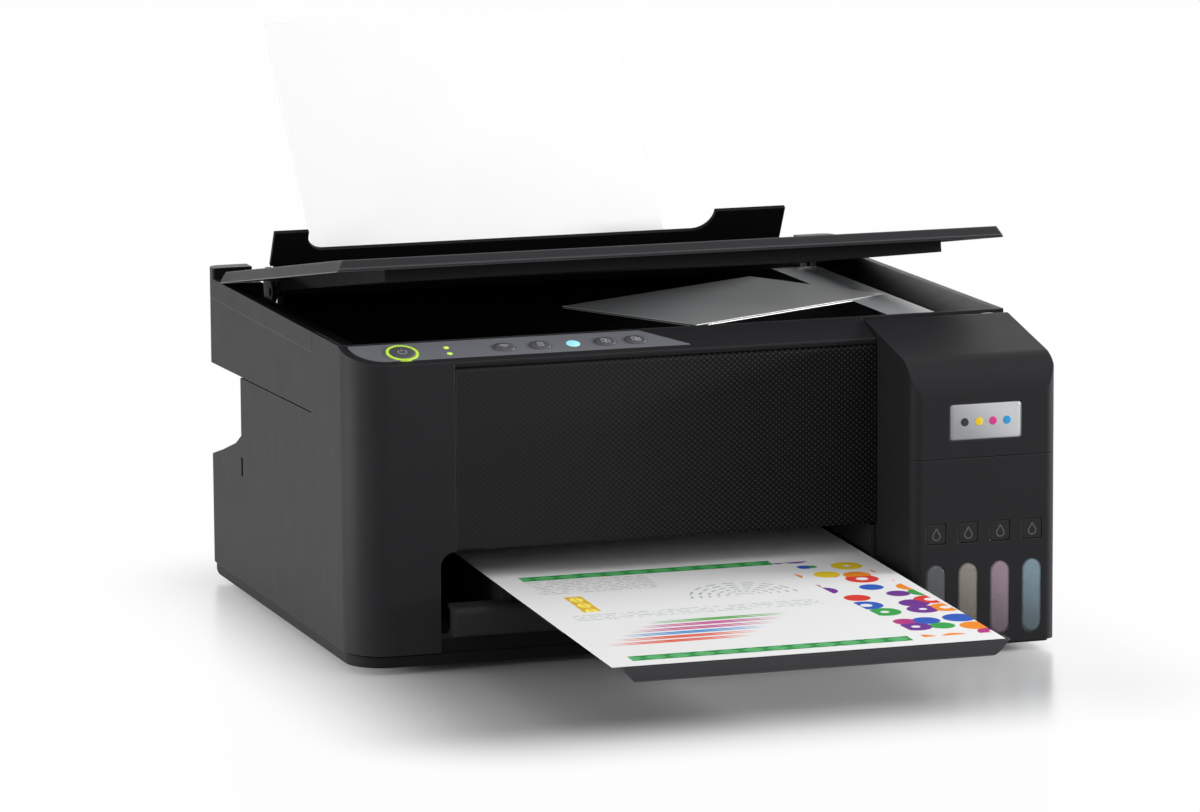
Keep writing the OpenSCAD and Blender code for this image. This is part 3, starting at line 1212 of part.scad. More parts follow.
base_pan();
main_housing();
front_fascia();
control_panel();
light_guide();
power_button();
network_button();
info_button();
copy_black_button();
copy_colour_button();
rubber_feet();
output_bay();
tray_stage_one();
tray_stage_two();
printed_sheet();
tank_case();
black_tank();
yellow_tank();
magenta_tank();
cyan_tank();
black_cap();
yellow_cap();
magenta_cap();
cyan_cap();
tank_cover();
tank_cover_pins();
feed_hopper();
paper_support();
edge_guide();
feeder_guard();
loaded_sheet();
rear_cover();
engine_frame();
rail_frame();
carriage_rod();
print_carriage();
ink_tubes();
drive_belt();
drive_motors();
motor_pulley();
idler_pulley();
feed_roller();
exit_roller();
idler_gear();
motor_pinion();
pickup_roller();
capping_station();
power_supply();
circuit_boards();
scanner_base();
scanner_frame();
scanner_glass();
glass_border();
scan_bar();
scan_rod();
photo_print();
cover_shell();
cover_mat();
hinge_pins();
case_screws();
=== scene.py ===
"""Looks of a tank-fed inkjet printer: finishes for its moulded solids and its small surface pieces.

Lengths inside the classes are millimetres, measured as the part's source measures them: X to
the right, Y rearwards from the tank unit's front face, Z up from the floor. They become metres
in the shared frame when a mesh is written.
"""

import logging
import math
from dataclasses import dataclass, field
from enum import Enum
from functools import reduce
from typing import Callable, Optional, Sequence, Union

import bpy
import numpy as np
from mathutils import Matrix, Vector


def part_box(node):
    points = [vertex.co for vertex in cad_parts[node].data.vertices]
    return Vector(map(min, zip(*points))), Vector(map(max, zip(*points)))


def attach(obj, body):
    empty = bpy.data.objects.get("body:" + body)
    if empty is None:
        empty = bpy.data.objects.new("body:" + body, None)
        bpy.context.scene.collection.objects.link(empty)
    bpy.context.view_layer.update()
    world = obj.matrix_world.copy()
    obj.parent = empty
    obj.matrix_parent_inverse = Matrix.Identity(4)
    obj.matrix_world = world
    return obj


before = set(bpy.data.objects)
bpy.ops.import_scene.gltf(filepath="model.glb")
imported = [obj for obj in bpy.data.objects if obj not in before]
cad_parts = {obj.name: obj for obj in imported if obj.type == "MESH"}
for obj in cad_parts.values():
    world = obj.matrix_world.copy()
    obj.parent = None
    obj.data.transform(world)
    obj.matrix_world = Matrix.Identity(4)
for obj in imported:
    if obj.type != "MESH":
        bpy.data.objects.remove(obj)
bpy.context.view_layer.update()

LOG = logging.getLogger("printer")
# Y of the tank unit's front face in the shared frame, in millimetres
FRONT_Y = -148.5636
# One millimetre in metres
MM = 0.001
# Height of a symbol's strokes over their ground, in millimetres
RELIEF = 0.08

Colour = tuple[float, float, float]
Socket = bpy.types.NodeSocket
Value = Union[float, Socket]
Tone = Union[Colour, Socket]
Pair = tuple[float, float]
Placing = Callable[[np.ndarray], np.ndarray]


def srgb(code: str) -> Colour:
    """Turns a hex colour into linear light.

    Args:
        code: six hex digits, red, green and blue, after a hash sign.

    Returns:
        The colour as three linear values.
    """
    parts = [int(code[i : i + 2], 16) / 255 for i in (1, 3, 5)]
    return tuple(p / 12.92 if p <= 0.04045 else ((p + 0.055) / 1.055) ** 2.4 for p in parts)


def scaled(colour: Colour, factor: float, lift: float = 0.0) -> Colour:
    """A colour times a factor, plus a lift, held at 1."""
    return tuple(min(1.0, c * factor + lift) for c in colour)


# ---------------------------------------------------------------- material graphs


class Graph:
    """A material's node graph, with short ways to write patterns on object coordinates."""

    def __init__(self, name: str) -> None:
        """Makes an empty material with a principled shader.

        Args:
            name: the material's name.
        """
        self.material = bpy.data.materials.new(name)
        self.material.use_nodes = True
        self.nodes = self.material.node_tree.nodes
        self.links = self.material.node_tree.links
        self.shader = self.nodes["Principled BSDF"]
        self.output = self.nodes["Material Output"]
        self._point: Optional[Socket] = None

    def add(self, kind: str, **settings: object) -> bpy.types.Node:
        """Adds a node of a kind and sets its properties.

        Args:
            kind: the node's type name without its ShaderNode prefix.
            settings: properties of the node, by name.

        Returns:
            The new node.
        """
        node = self.nodes.new("ShaderNode" + kind)
        for key, value in settings.items():
            setattr(node, key, value)
        return node

    def feed(self, target: Socket, value: object) -> None:
        """Links a socket, or writes a constant into it."""
        if isinstance(value, bpy.types.NodeSocket):
            self.links.new(value, target)
        elif isinstance(value, (tuple, list)) and len(value) == 3 and target.type == "RGBA":
            target.default_value = (*value, 1.0)
        else:
            target.default_value = value

    def set(self, **values: object) -> None:
        """Sets the principled shader's sockets, with underscores for the spaces in their names."""
        for key, value in values.items():
            self.feed(self.shader.inputs[key.replace("_", " ")], value)

    def point(self) -> Socket:
        """Object coordinates, in metres in the shared frame."""
        if self._point is None:
            self._point = self.add("TexCoord").outputs["Object"]
        return self._point

    def mapped(self, scale: Sequence[float]) -> Socket:
        """Object coordinates scaled along each axis by a Mapping node."""
        node = self.add("Mapping")
        self.links.new(self.point(), node.inputs["Vector"])
        node.inputs["Scale"].default_value = scale
        return node.outputs[0]

    def axes(self, vector: Optional[Socket] = None) -> tuple[Socket, Socket, Socket]:
        """The three parts of a vector, or of the object point."""
        node = self.add("SeparateXYZ")
        self.links.new(vector or self.point(), node.inputs[0])
        return node.outputs[0], node.outputs[1], node.outputs[2]

    def math(self, operation: str, a: Value, b: Value = 0.0) -> Socket:
        """One step of arithmetic by a Math node, named by its operation."""
        node = self.add("Math", operation=operation)
        for target, value in zip(node.inputs, (a, b)):
            self.feed(target, value)
        return node.outputs[0]

    def times(self, *values: Value) -> Socket:
        """The product of two or more values."""
        return reduce(lambda a, b: self.math("MULTIPLY", a, b), values)

    def plus(self, a: Value, b: Value) -> Socket:
        """The sum of two values."""
        return self.math("ADD", a, b)

    def minus(self, a: Value, b: Value) -> Socket:
        """The first value less the second."""
        return self.math("SUBTRACT", a, b)

    def length(self, a: Value, b: Value) -> Socket:
        """The length of a vector of two parts."""
        return self.math("SQRT", self.plus(self.times(a, a), self.times(b, b)))

    def noise(
        self, size: float, detail: float = 2.0, rough: float = 0.5, stretch: Sequence[float] = (1, 1, 1)
    ) -> Socket:
        """Fractal noise whose grains are about a size across.

        Args:
            size: grain size in millimetres.
            detail: number of finer octaves.
            rough: strength of the finer octaves.
            stretch: how much the pattern is squeezed along each axis.

        Returns:
            The noise, about 0 to 1.
        """
        scale = 1 / (size * MM)
        node = self.add("TexNoise")
        self.links.new(self.mapped([scale * s for s in stretch]), node.inputs["Vector"])
        node.inputs["Scale"].default_value = 1.0
        node.inputs["Detail"].default_value = detail
        node.inputs["Roughness"].default_value = rough
        return node.outputs["Fac"] if "Fac" in node.outputs else node.outputs[0]

    def cells(self, size: float, feature: str = "F1") -> Socket:
        """Distance field of scattered cells that are a size in millimetres across."""
        node = self.add("TexVoronoi", feature=feature)
        self.links.new(self.mapped([1 / (size * MM)] * 3), node.inputs["Vector"])
        node.inputs["Scale"].default_value = 1.0
        return node.outputs["Distance"]

    def ramp(
        self, value: Socket, low: float, high: float, out_low: float = 0.0, out_high: float = 1.0
    ) -> Socket:
        """Maps a value from one range to another, with ends that ease in, and holds it there.

        Args:
            value: the value that is mapped.
            low: where the output is out_low.
            high: where the output is out_high.
            out_low: output at the low end.
            out_high: output at the high end.

        Returns:
            The mapped value.
        """
        node = self.add("MapRange", interpolation_type="SMOOTHSTEP")
        given = {"Value": value, "From Min": low, "From Max": high, "To Min": out_low, "To Max": out_high}
        for key, setting in given.items():
            self.feed(node.inputs[key], setting)
        return node.outputs["Result"]

    def mix(self, factor: Value, a: Tone, b: Tone, blend: str = "MIX") -> Socket:
        """Mixes two colours.

        Args:
            factor: share of the second colour.
            a: first colour.
            b: second colour.
            blend: how they are mixed.

        Returns:
            The mixed colour.
        """
        node = self.add("Mix", data_type="RGBA", blend_type=blend)
        self.feed(node.inputs[0], factor)
        self.feed(node.inputs[6], a)
        self.feed(node.inputs[7], b)
        return node.outputs[2]

    def pick(self, value: Socket, colours: Sequence[str]) -> Socket:
        """Picks one of several colours by a value, in even steps from 0 to 1.

        Args:
            value: the value that chooses.
            colours: the hex colours, in order.

        Returns:
            The chosen colour.
        """
        node = self.add("ValToRGB")
        ramp = node.color_ramp
        ramp.interpolation = "CONSTANT"
        for step in range(2, len(colours)):
            ramp.elements.new(0.5)
        for step, code in enumerate(colours):
            ramp.elements[step].position = step / len(colours)
            ramp.elements[step].color = (*srgb(code), 1.0)
        self.links.new(value, node.inputs[0])
        return node.outputs[0]

    def box(self, x: Socket, y: Socket, low: Pair, high: Pair) -> Socket:
        """A mask that is 1 inside a rectangle of the plane and 0 outside it."""
        across = self.times(self.math("GREATER_THAN", x, low[0]), self.math("LESS_THAN", x, high[0]))
        along = self.times(self.math("GREATER_THAN", y, low[1]), self.math("LESS_THAN", y, high[1]))
        return self.times(across, along)

    def bump(self, height: Socket, strength: float, depth: float, base: Optional[Socket] = None) -> Socket:
        """A normal bent by a height field.

        Args:
            height: the height, about 0 to 1.
            strength: share of the bend, 0 to 1.
            depth: height of a value of 1, in millimetres.
            base: a normal that is bent further.

        Returns:
            The bent normal.
        """
        node = self.add("Bump")
        node.inputs["Strength"].default_value = strength
        node.inputs["Distance"].default_value = depth * MM
        self.links.new(height, node.inputs["Height"])
        if base is not None:
            self.links.new(base, node.inputs["Normal"])
        return node.outputs[0]

    def soft_edges(self, radius: float) -> Socket:
        """A normal that rounds sharp edges over a radius in millimetres."""
        node = self.add("Bevel", samples=4)
        node.inputs["Radius"].default_value = radius * MM
        return node.outputs[0]

    def edge_mask(self, rounded: Socket) -> Socket:
        """Where a rounded normal leaves the true one: 1 on an edge, 0 on a flat."""
        geometry = self.add("NewGeometry")
        node = self.add("VectorMath", operation="DOT_PRODUCT")
        self.links.new(rounded, node.inputs[0])
        self.links.new(geometry.outputs["Normal"], node.inputs[1])
        return self.ramp(node.outputs["Value"], 0.995, 0.86)


# ---------------------------------------------------------------- finishes

MADE: dict[str, bpy.types.Material] = {}


@dataclass(frozen=True)
class Finish:
    """A finish that can be made into a material, once, and given to pieces."""

    name: str

    def build(self, g: Graph) -> None:
        """Writes the finish into a graph."""
        raise NotImplementedError

    def material(self) -> bpy.types.Material:
        """The finish's material, made the first time that it is asked for."""
        if self.name not in MADE:
            graph = Graph("finish_" + self.name)
            self.build(graph)
            MADE[self.name] = graph.material
        return MADE[self.name]

    def dress(self, *nodes: str) -> None:
        """Gives the material to CAD nodes by name."""
        for name in nodes:
            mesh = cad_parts[name].data
            mesh.materials.clear()
            mesh.materials.append(self.material())
        LOG.info("finish %s on %s", self.name, ", ".join(nodes))


@dataclass(frozen=True)
class Moulded(Finish):
    """Moulded plastic: a spark-eroded grain, soft edges painted paler (partly wear, partly a painted
    highlight), and faint smudges.
    """

    colour: str = "#303032"
    roughness: float = 0.45
    grain: float = 0.45
    depth: float = 0.05
    edge: float = 0.35
    # Share and lift of the paler edge colour: partly wear, partly a painted highlight
    wear_and_highlight: float = 0.35
    tone: float = 0.12
    gloss: float = 0.25
    pale_edge_lift: float = 0.015
    smear: float = 0.015

    def build(self, g: Graph) -> None:
        """Writes grain, tone, paler edges (partly wear, partly a painted highlight) and smudges into a graph.
        """
        base = srgb(self.colour)
        grain = g.noise(self.grain, 3.0, 0.6)
        cloud = g.noise(60, 3.0, 0.5)
        smudge = g.noise(17, 4.0, 0.62)
        pale = scaled(base, 1 + 4 * self.tone, 0.004)
        colour = g.mix(cloud, scaled(base, 1 - self.tone), scaled(base, 1 + self.tone))
        colour = g.mix(g.ramp(grain, 0.45, 0.75, 0.0, 0.22), colour, pale)
        rounded = g.soft_edges(self.edge)
        mask = g.edge_mask(rounded)
        # Edges painted paler: partly wear, partly a painted highlight
        colour = g.mix(g.times(mask, self.wear_and_highlight), colour, scaled(base, 2.4, self.pale_edge_lift))
        g.set(Base_Color=self.tint(g, colour))
        rough = g.ramp(smudge, 0.3, 0.7, self.roughness - self.smear, self.roughness + self.smear)
        rough = g.plus(rough, g.times(grain, 0.06))
        rough = g.minus(rough, g.times(mask, 0.1))
        g.set(Roughness=rough, Normal=g.bump(grain, 0.5, self.depth, rounded), IOR=1.49)
        g.set(Specular_IOR_Level=self.gloss)

    def tint(self, g: Graph, colour: Socket) -> Socket:
        """The colour as it leaves the mould; a piece in two tones changes it by place."""
        return colour


@dataclass(frozen=True)
class ScannerRim(Moulded):
    """The scanner frame: outer walls like the housing's, and a black bed inside them.

    The bed is a rectangle of the plan, a wall's thickness inside the frame's box.
    """

    inside: str = "#060607"
    wall: float = 1.2

    def tint(self, g: Graph, colour: Socket) -> Socket:
        """Writes the black bed over the outer walls' colour."""
        x, y, _ = g.axes()
        low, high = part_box("scanner_frame")
        edge = self.wall * MM
        bed = g.box(x, y, (low[0] + edge, low[1] + edge), (high[0] - edge, high[1] - edge))
        return g.mix(bed, colour, srgb(self.inside))


@dataclass(frozen=True)
class WovenPanel(Finish):
    """Front panel: a pressed lattice of small diamonds that grows stronger towards the right end, with
    painted light: raised tops painted paler, sunk rows painted darker, a painted shade towards the right end
    and a painted highlight on the edges.

    Two families of slanting ridges cross. Each is a triangle wave of the point's place along
    one diagonal; a diamond's height is the product of both, less where its row is sunk.
    """

    colour: str = "#1e1e1f"
    pitch: float = 3.4
    roughness: float = 0.42

    def build(self, g: Graph) -> None:
        """Writes the lattice, its gradient and its painted light and shade into a graph."""
        x, _, z = g.axes()
        scale = 1 / (self.pitch * MM)
        wave: list[Socket] = []
        for side in (1.0, -1.0):
            along = g.times(g.plus(x, g.times(z, side * 1.15)), scale)
            wave.append(g.times(g.math("PINGPONG", along, 0.5), 2.0))
        diamond = g.times(wave[0], wave[1])
        strength = g.ramp(x, -0.11, 0.07, 0.12, 1.0)
        base = srgb(self.colour)
        # Painted shade: the panel darkens towards the right end
        base = g.mix(g.ramp(x, -0.05, 0.07), base, srgb("#0a0a0b"))
        # Painted highlight on the raised tops, painted shade in the sunk rows
        painted_lit_tops = g.times(g.ramp(diamond, 0.3, 0.75), strength)
        sunk = g.times(g.ramp(diamond, 0.25, 0.02), strength)
        grain = g.noise(0.5, 3.0, 0.6)
        colour = g.mix(g.times(painted_lit_tops, 0.8), base, srgb("#363637"))
        colour = g.mix(sunk, colour, srgb("#020202"))
        colour = g.mix(g.ramp(grain, 0.5, 0.8, 0.0, 0.2), colour, srgb("#3c3c3e"))
        rounded = g.soft_edges(0.8)
        # Painted highlight: the edges are painted paler
        colour = g.mix(g.times(g.edge_mask(rounded), 0.5), colour, srgb("#636366"))
        height = g.times(diamond, strength)
        normal = g.bump(height, 0.8, 0.35, rounded)
        g.set(Base_Color=colour, Normal=g.bump(grain, 0.35, 0.04, normal), IOR=1.49)
        rough = g.ramp(grain, 0.3, 0.7, self.roughness - 0.04, self.roughness + 0.08)
        g.set(Roughness=g.plus(rough, g.times(sunk, 0.2)), Specular_IOR_Level=0.1)


@dataclass(frozen=True)
class InkTank(Finish):
    """A clear tank with ink behind its wall, paler towards the foot of its window."""

    colour: str = "#6f8b99"
    shade: str = "#3a4850"

    def build(self, g: Graph) -> None:
        """Writes the level gradient and the glossy wall into a graph."""
        _, _, z = g.axes()
        haze = g.noise(9, 3.0, 0.6)
        fade = g.ramp(g.plus(z, g.times(haze, 0.004)), 0.012, 0.05)
        colour = g.mix(fade, srgb(self.shade), srgb(self.colour))
        colour = g.mix(g.times(haze, 0.25), colour, srgb("#d8dcde"), "SOFT_LIGHT")
        g.set(Base_Color=colour, Roughness=g.ramp(haze, 0.3, 0.7, 0.2, 0.32), IOR=1.47)
        g.set(Normal=g.bump(haze, 0.25, 0.25, g.soft_edges(0.5)), Coat_Weight=0.5, Coat_Roughness=0.08)


@dataclass(frozen=True)
class Paper(Finish):
    """Uncoated paper: faint fibres and a slight cockle."""

    colour: str = "#efefef"

    def paper(self, g: Graph) -> Socket:
        """Writes the sheet itself into a graph and gives back its colour."""
        fibre = g.noise(0.7, 4.0, 0.7, (1.0, 0.35, 1.0))
        cockle = g.noise(45, 2.0, 0.4)
        base = srgb(self.colour)
        g.set(Roughness=g.ramp(fibre, 0.3, 0.7, 0.62, 0.74), IOR=1.4)
        g.set(Normal=g.bump(fibre, 0.12, 0.05, g.bump(cockle, 0.3, 0.9)))
        return g.mix(g.times(fibre, 0.5), base, scaled(base, 0.93))

    def build(self, g: Graph) -> None:
        """Writes a blank sheet into a graph."""
        g.set(Base_Color=self.paper(g))


@dataclass(frozen=True)
class PrintedPaper(Paper):
    """A sheet printed with a generic design, all of it drawn by formulas in millimetres.

    Scattered discs and rings fill a slanting column; chains of leaves run along two sides;
    tapered brush strokes lie in rows; arcs fan out from a point; dashes stand for small print.
    """

    mixed: tuple[str, ...] = (
        "#7b3fa0", "#2757b8", "#d8352a", "#ef8a1d", "#2f9c47", "#e8c91f", "#b02f7d", "#6a2c8c")
    strokes: tuple[str, ...] = ("#e0563b", "#3b8fcf", "#ef9a2e", "#c23a8a", "#58a84c", "#d8432f")
    disc_pitch: float = 18.0
    leaf_length: float = 13.0
    leaf_half: float = 3.6
    row_pitch: float = 8.0
    row_middle: float = 2.6
    row_shift: float = 7.0
    stroke_half: float = 1.5
    arc_pitch: float = 2.4
    fan_reach: float = 31.0
    text_pitch: float = 1.7

    def discs(self, g: Graph, colour: Socket, x: Socket, y: Socket, at: Socket) -> Socket:
        """Discs and rings about scattered points, each in a colour of its own."""
        node = g.add("TexVoronoi", feature="F1")
        g.links.new(at, node.inputs["Vector"])
        node.inputs["Scale"].default_value = 1 / (self.disc_pitch * MM)
        node.inputs["Randomness"].default_value = 0.55
        red, green, _ = g.axes(node.outputs["Color"])
        far = node.outputs["Distance"]
        disc = g.ramp(far, 0.51, 0.48)
        hole = g.times(g.ramp(far, 0.17, 0.2, 1.0, 0.0), g.math("GREATER_THAN", green, 0.45))
        lean = g.plus(x, g.times(y, 0.1))
        mask = g.times(g.box(lean, y, (46, -136), (89, 44)), g.minus(disc, hole))
        return g.mix(g.math("MAXIMUM", mask, 0.0), colour, g.pick(red, self.mixed))

    def leaves(
        self, g: Graph, colour: Socket, u: Socket, v: Socket, middle: float, run: Pair, code: str
    ) -> Socket:
        """A band along u with a chain of pale leaves, each as wide as an arch is high at its place."""
        turn = math.pi / self.leaf_length
        arch = g.math("SINE", g.times(g.math("PINGPONG", u, self.leaf_length), turn))
        off = g.math("ABSOLUTE", g.minus(v, middle))
        leaf = g.ramp(g.minus(off, g.times(arch, self.leaf_half)), 0.3, -0.3)
        vein = g.ramp(off, 0.2, 0.5)
        band = self.strip(g, u, v, middle, run)
        colour = g.mix(band, colour, srgb(code))
        return g.mix(g.times(leaf, vein, band), colour, scaled(srgb(code), 1.6, 0.1))

    def strip(self, g: Graph, u: Socket, v: Socket, middle: float, run: Pair) -> Socket:
        """A straight band along u whose rims are a little ragged."""
        rag = g.plus(v, g.times(g.noise(4, 2.0, 0.5), 1.2))
        return g.box(u, rag, (run[0], middle - 4.2), (run[1], middle + 5.4))

    def brush(self, g: Graph, colour: Socket, x: Socket, y: Socket) -> Socket:
        """Rows of strokes whose thickness swells and tapers along them.

        A stroke's half width falls with the square of the distance from its middle, and each
        row's middle lies a little further along x than the one before.
        """
        low, high = (-106, -110), (40, -62)
        up = g.plus(y, -low[1])
        row = g.math("FLOOR", g.math("DIVIDE", up, self.row_pitch))
        off = g.math("ABSOLUTE", g.minus(g.math("PINGPONG", up, self.row_pitch / 2), self.row_middle))
        run = g.plus(x, g.times(row, -self.row_shift))
        taper = g.math("POWER", g.math("DIVIDE", g.plus(run, 62.0), 42.0), 2.0)
        swell = g.minus(self.stroke_half, g.times(taper, self.stroke_half))
        wave = g.plus(off, g.times(g.noise(16, 2.0, 0.5), 0.5))
        mask = g.times(g.ramp(g.minus(wave, swell), 0.25, -0.25), g.box(x, y, low, high))
        return g.mix(mask, colour, g.pick(g.math("DIVIDE", row, float(len(self.strokes))), self.strokes))

    def fan(self, g: Graph, colour: Socket, x: Socket, y: Socket, at: Pair) -> Socket:
        """Arcs round a point, cut into pieces by rays and cut off below a line through it."""
        u, v = g.minus(x, at[0]), g.minus(y, at[1])
        r = g.length(u, v)
        arcs = g.ramp(g.math("PINGPONG", r, self.arc_pitch), 0.5, 0.9, 1.0, 0.0)
        ray = g.math("GREATER_THAN", g.math("SINE", g.times(g.math("ARCTAN2", v, u), 17.0)), -0.4)
        near = g.math("LESS_THAN", r, self.fan_reach)
        mask = g.times(arcs, near, ray, g.math("GREATER_THAN", v, 1.0))
        return g.mix(g.times(mask, 0.75), colour, srgb("#8d9aa6"))

    def dashes(
        self, g: Graph, colour: Socket, x: Socket, y: Socket, low: Pair, high: Pair, code: str
    ) -> Socket:
        """Short dashes in rows that stand for small print."""
        line = g.ramp(g.math("PINGPONG", y, self.text_pitch), 0.45, 0.65, 1.0, 0.0)
        words = g.math("GREATER_THAN", g.noise(2.4, 1.0, 0.5, (1.0, 1.4, 0.0)), 0.47)
        mask = g.times(line, words, g.box(x, y, low, high))
        return g.mix(g.times(mask, 0.6), colour, srgb(code))

    def build(self, g: Graph) -> None:
        """Writes the paper and its print into a graph."""
        colour = self.paper(g)
        px, py, _ = g.axes()
        x, y = g.times(px, 1 / MM), g.minus(g.times(py, 1 / MM), FRONT_Y)
        colour = self.dashes(g, colour, x, y, (-98, -52), (36, -38), "#5d8f63")
        colour = self.dashes(g, colour, x, y, (-98, 8), (-32, 38), "#70777d")
        colour = self.fan(g, colour, x, y, (4.0, -22.0))
        colour = self.brush(g, colour, x, y)
        colour = self.leaves(g, colour, x, y, -136.0, (-98, 52), "#17823a")
        colour = self.leaves(g, colour, x, y, 46.0, (-98, 42), "#1f8f40")
        colour = self.leaves(g, colour, y, x, -84.0, (-34, 1), "#e4b62a")
        colour = self.discs(g, colour, x, y, g.point())
        g.set(Base_Color=colour)


@dataclass(frozen=True)
class GlossPrint(Finish):
    """A glossy print face down on the glass: a pale sheet with a painted gradient of light, paler towards the
    right and the front.
    """

    def build(self, g: Graph) -> None:
        """Writes the painted light gradient and the gloss into a graph."""
        x, y, _ = g.axes()
        # Painted light: paler towards the right and the front, where light comes in under the cover
        run = g.ramp(g.minus(x, g.times(y, 0.6)), -0.07, 0.16)
        cloud = g.noise(70, 2.0, 0.5)
        colour = g.mix(run, srgb("#d4d7da"), srgb("#fbfcfc"))
        colour = g.mix(g.times(cloud, 0.2), colour, srgb("#c9cdd1"), "SOFT_LIGHT")
        g.set(Base_Color=colour, Roughness=g.ramp(cloud, 0.3, 0.7, 0.14, 0.24), IOR=1.5)
        g.set(Normal=g.bump(cloud, 0.2, 1.2), Coat_Weight=0.4, Coat_Roughness=0.06)


@dataclass(frozen=True)
class Metal(Finish):
    """Turned or rolled metal: fine scratches along one axis."""

    colour: str = "#a9adb2"
    roughness: float = 0.3
    grain: tuple[float, float, float] = (0.02, 1.0, 1.0)

    def build(self, g: Graph) -> None:
        """Writes scratches and tone into a graph."""
        line = g.noise(0.5, 4.0, 0.7, self.grain)
        cloud = g.noise(22, 3.0, 0.5)
        base = srgb(self.colour)
        rough = g.ramp(line, 0.2, 0.8, self.roughness - 0.08, self.roughness + 0.12)
        g.set(Base_Color=g.mix(cloud, scaled(base, 0.86), base), Metallic=1.0, Roughness=rough)
        g.set(Normal=g.bump(line, 0.25, 0.03, g.soft_edges(0.3)))


@dataclass(frozen=True)
class Lit(Finish):
    """A translucent lens with a lamp behind it, its tone varied by a faint haze."""

    colour: str = "#b7e24a"
    glow: float = 0.8

    def build(self, g: Graph) -> None:
        """Writes the lens and its glow into a graph."""
        haze = g.noise(1.5, 2.0, 0.5)
        base = srgb(self.colour)
        colour = g.mix(haze, scaled(base, 0.8), base)
        g.set(Base_Color=colour, Emission_Color=colour, Emission_Strength=self.glow)
        g.set(Roughness=g.ramp(haze, 0.3, 0.7, 0.22, 0.34))
        g.set(Normal=g.bump(haze, 0.2, 0.05, g.soft_edges(0.3)))


@dataclass(frozen=True)
class Glass(Finish):
    """The scanner's glass: a glossy sheet with faint dust, and nothing shows through it; its dark tint is
    painted shade for the shaded bed below it.
    """

    def build(self, g: Graph) -> None:
        """Writes tint, dust and polish into a graph."""
        dust = g.noise(3.0, 6.0, 0.75)
        # Painted shade: the dark tint stands for the shaded bed under the glass
        colour = g.mix(g.ramp(dust, 0.62, 0.8, 0.0, 0.12), srgb("#0c0e10"), srgb("#3a3e42"))
        g.set(Base_Color=colour, Roughness=g.ramp(dust, 0.55, 0.8, 0.04, 0.16), IOR=1.52)
        g.set(Coat_Weight=0.6, Coat_Roughness=0.03)


@dataclass(frozen=True)
class Board(Finish):
    """A printed circuit board: tracks and pads under a green mask, and a steel socket at its rear end."""

    port: float = 15.0

    def build(self, g: Graph) -> None:
        """Writes tracks as thin bands of a cell pattern into a graph."""
        edge = g.cells(7.0, "DISTANCE_TO_EDGE")
        pads = g.cells(4.0)
        track = g.ramp(edge, 0.1, 0.06)
        colour = g.mix(g.times(track, 0.5), srgb("#14502c"), srgb("#2f7a48"))
        colour = g.mix(g.ramp(pads, 0.16, 0.12), colour, srgb("#b9bdc0"))
        _, y, _ = g.axes()
        _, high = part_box("circuit_boards")
        colour = g.mix(g.math("GREATER_THAN", y, high[1] - self.port * MM), colour, srgb("#8b8e91"))
        g.set(Base_Color=colour, Roughness=g.ramp(edge, 0.0, 0.2, 0.3, 0.42), Normal=g.bump(track, 0.4, 0.06))


@dataclass(frozen=True)
class Foam(Finish):
    """The foam sheet under the cover, coloured near black as painted shade: open pores and a soft sheen."""

    def build(self, g: Graph) -> None:
        """Writes pores into a graph."""
        pore = g.cells(0.8)
        soft = g.noise(12, 3.0, 0.5)
        # Painted shade: the sheet is coloured near black, as it looks in the shade under the cover
        colour = g.mix(g.ramp(pore, 0.1, 0.6, 0.6, 0.0), srgb("#1c1c1e"), srgb("#0a0a0b"))
        colour = g.mix(g.times(soft, 0.3), colour, srgb("#232325"))
        g.set(Base_Color=colour, Roughness=g.ramp(soft, 0.2, 0.8, 0.82, 0.92))
        g.set(Normal=g.bump(pore, 0.5, 0.12), Specular_IOR_Level=0.1)


@dataclass(frozen=True)
class Ink(Finish):
    """A plain printed or moulded mark with a faint mottle."""

    colour: str = "#b8bbbe"
    roughness: float = 0.4

    def build(self, g: Graph) -> None:
        """Writes the mottle into a graph."""
        mottle = g.noise(0.8, 3.0, 0.6)
        base = srgb(self.colour)
        rough = g.ramp(mottle, 0.3, 0.7, self.roughness - 0.05, self.roughness + 0.05)
        g.set(Base_Color=g.mix(mottle, scaled(base, 0.86), base), Roughness=rough, Specular_IOR_Level=0.3)


@dataclass(frozen=True)
class SatinPlate(Finish):
    """A satin silver plate: brushed along its length, with a painted sheen that makes it paler towards the
    upper right.
    """

    def build(self, g: Graph) -> None:
        """Writes the brushing and the painted sheen's gradient into a graph."""
        x, _, z = g.axes()
        line = g.noise(0.35, 4.0, 0.7, (0.03, 1.0, 1.0))
        # Painted sheen: paler towards the upper right
        run = g.ramp(g.plus(x, z), 0.245, 0.295)
        colour = g.mix(run, srgb("#8d8f91"), srgb("#c9cbcc"))
        colour = g.mix(g.times(line, 0.3), colour, srgb("#7b7d80"))
        g.set(Base_Color=colour, Metallic=0.35, Roughness=g.ramp(line, 0.2, 0.8, 0.28, 0.42))
        g.set(Normal=g.bump(line, 0.2, 0.02, g.soft_edges(0.3)))


